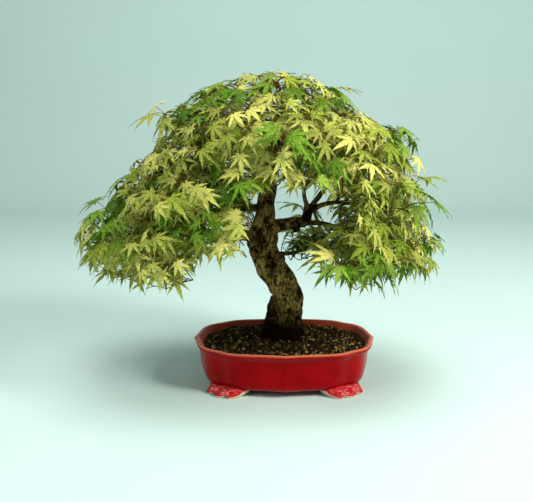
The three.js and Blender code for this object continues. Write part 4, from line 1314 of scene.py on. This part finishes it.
bark = bark_material()
build_pot(glaze_material())
build_soil(soil_material())
build_wood(bark)
build_twigs(shoots, bark)
leaf_finishes = {
    False: leaf_material(
        "leaf_variegated", (0.105, 0.205, 0.0005), (0.3, 0.46, 0.004), (0.94, 0.87, 0.26), 0.44
    ),
    True: leaf_material("leaf_green", (0.022, 0.11, 0.0005), (0.09, 0.29, 0.004), (0.4, 0.56, 0.09), 0.25),
}
build_foliage(shoots, leaf_finishes, bark)
screen_finish = screen_material()
for name in ("drain_screen_left", "drain_screen_right"):
    for material_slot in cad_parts[name].material_slots:
        material_slot.material = screen_finish

# ---- Stage, light and camera ----

FLOOR_FRONT, STAGE_HALF_WIDTH, STAGE_HEIGHT = -3.0, 4.0, 3.0
BACKDROP_AT, BACKDROP_BEND, BEND_STEPS = 1.6, 0.5, 16
CAMERA_PLACE = (-25.6, -1200.0, 430.0)
CAMERA_PITCH = math.radians(11.2)
FOCAL_PIXELS, IMAGE_WIDTH = 854.3, 533
SENSOR_WIDTH = 36.0


def build_stage():
    """A pale floor that curves up into a plain backdrop."""
    profile = [(FLOOR_FRONT, 0.0), (BACKDROP_AT, 0.0)]
    for i in range(1, BEND_STEPS + 1):
        turn = math.pi / 2 * i / BEND_STEPS
        profile.append((BACKDROP_AT + BACKDROP_BEND * math.sin(turn), BACKDROP_BEND * (1 - math.cos(turn))))
    profile.append((BACKDROP_AT + BACKDROP_BEND, STAGE_HEIGHT))
    mesh = bpy.data.meshes.new("backdrop")
    points = [(x, y, z) for x in (-STAGE_HALF_WIDTH, STAGE_HALF_WIDTH) for y, z in profile]
    count = len(profile)
    mesh.from_pydata(points, [], [(i, count + i, count + i + 1, i + 1) for i in range(count - 1)])
    mesh.shade_smooth()
    backdrop = bpy.data.objects.new("backdrop", mesh)
    bpy.context.scene.collection.objects.link(backdrop)
    f = Finish("backdrop", Roughness=0.85, Specular_IOR_Level=0.2)
    f.colour(f.mix(f.noise(f.place(), 3.0, 2.0), (0.565, 0.74, 0.72), (0.595, 0.77, 0.75)))
    backdrop.data.materials.append(f.material)
    backdrop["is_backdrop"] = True


def add_light(name, place, target, size, power, colour):
    data = bpy.data.lights.new(name, "AREA")
    data.shape = "RECTANGLE"
    data.size, data.size_y = size
    data.energy = power
    data.color = colour
    light = bpy.data.objects.new(name, data)
    light.location = place
    light.rotation_euler = (Vector(target) - Vector(place)).to_track_quat("-Z", "Y").to_euler()
    bpy.context.scene.collection.objects.link(light)


build_stage()
add_light("key", (1.6, -1.0, 1.35), (0, 0, 0.2), (0.6, 0.6), 50, (1.0, 0.97, 0.88))
add_light("fill", (-1.5, -1.2, 1.3), (0, 0, 0.3), (1.2, 1.2), 11, (0.95, 0.98, 1.0))
add_light("top", (0.1, -0.1, 2.1), (0, 0, 0.2), (1.4, 1.4), 30, (1.0, 1.0, 0.94))

world = bpy.data.worlds.new("studio")
bpy.context.scene.world = world
world.use_nodes = True
background = world.node_tree.nodes["Background"]
background.inputs["Color"].default_value = (0.82, 0.9, 0.88, 1.0)
background.inputs["Strength"].default_value = 0.2

camera_data = bpy.data.cameras.new("camera")
camera_data.sensor_width = SENSOR_WIDTH
camera_data.lens = FOCAL_PIXELS / IMAGE_WIDTH * SENSOR_WIDTH
camera = bpy.data.objects.new("camera", camera_data)
camera.location = (np.array(CAMERA_PLACE) + POT_PLACE) / METRE
camera.rotation_euler = (math.pi / 2 - CAMERA_PITCH, 0, 0)
bpy.context.scene.collection.objects.link(camera)
bpy.context.scene.camera = camera
bpy.context.scene.view_settings.view_transform = "Standard"

boxes = {"cad": cad_box, "visual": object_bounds()}
{key: [list(corner) for corner in box] for key, box in boxes.items()}
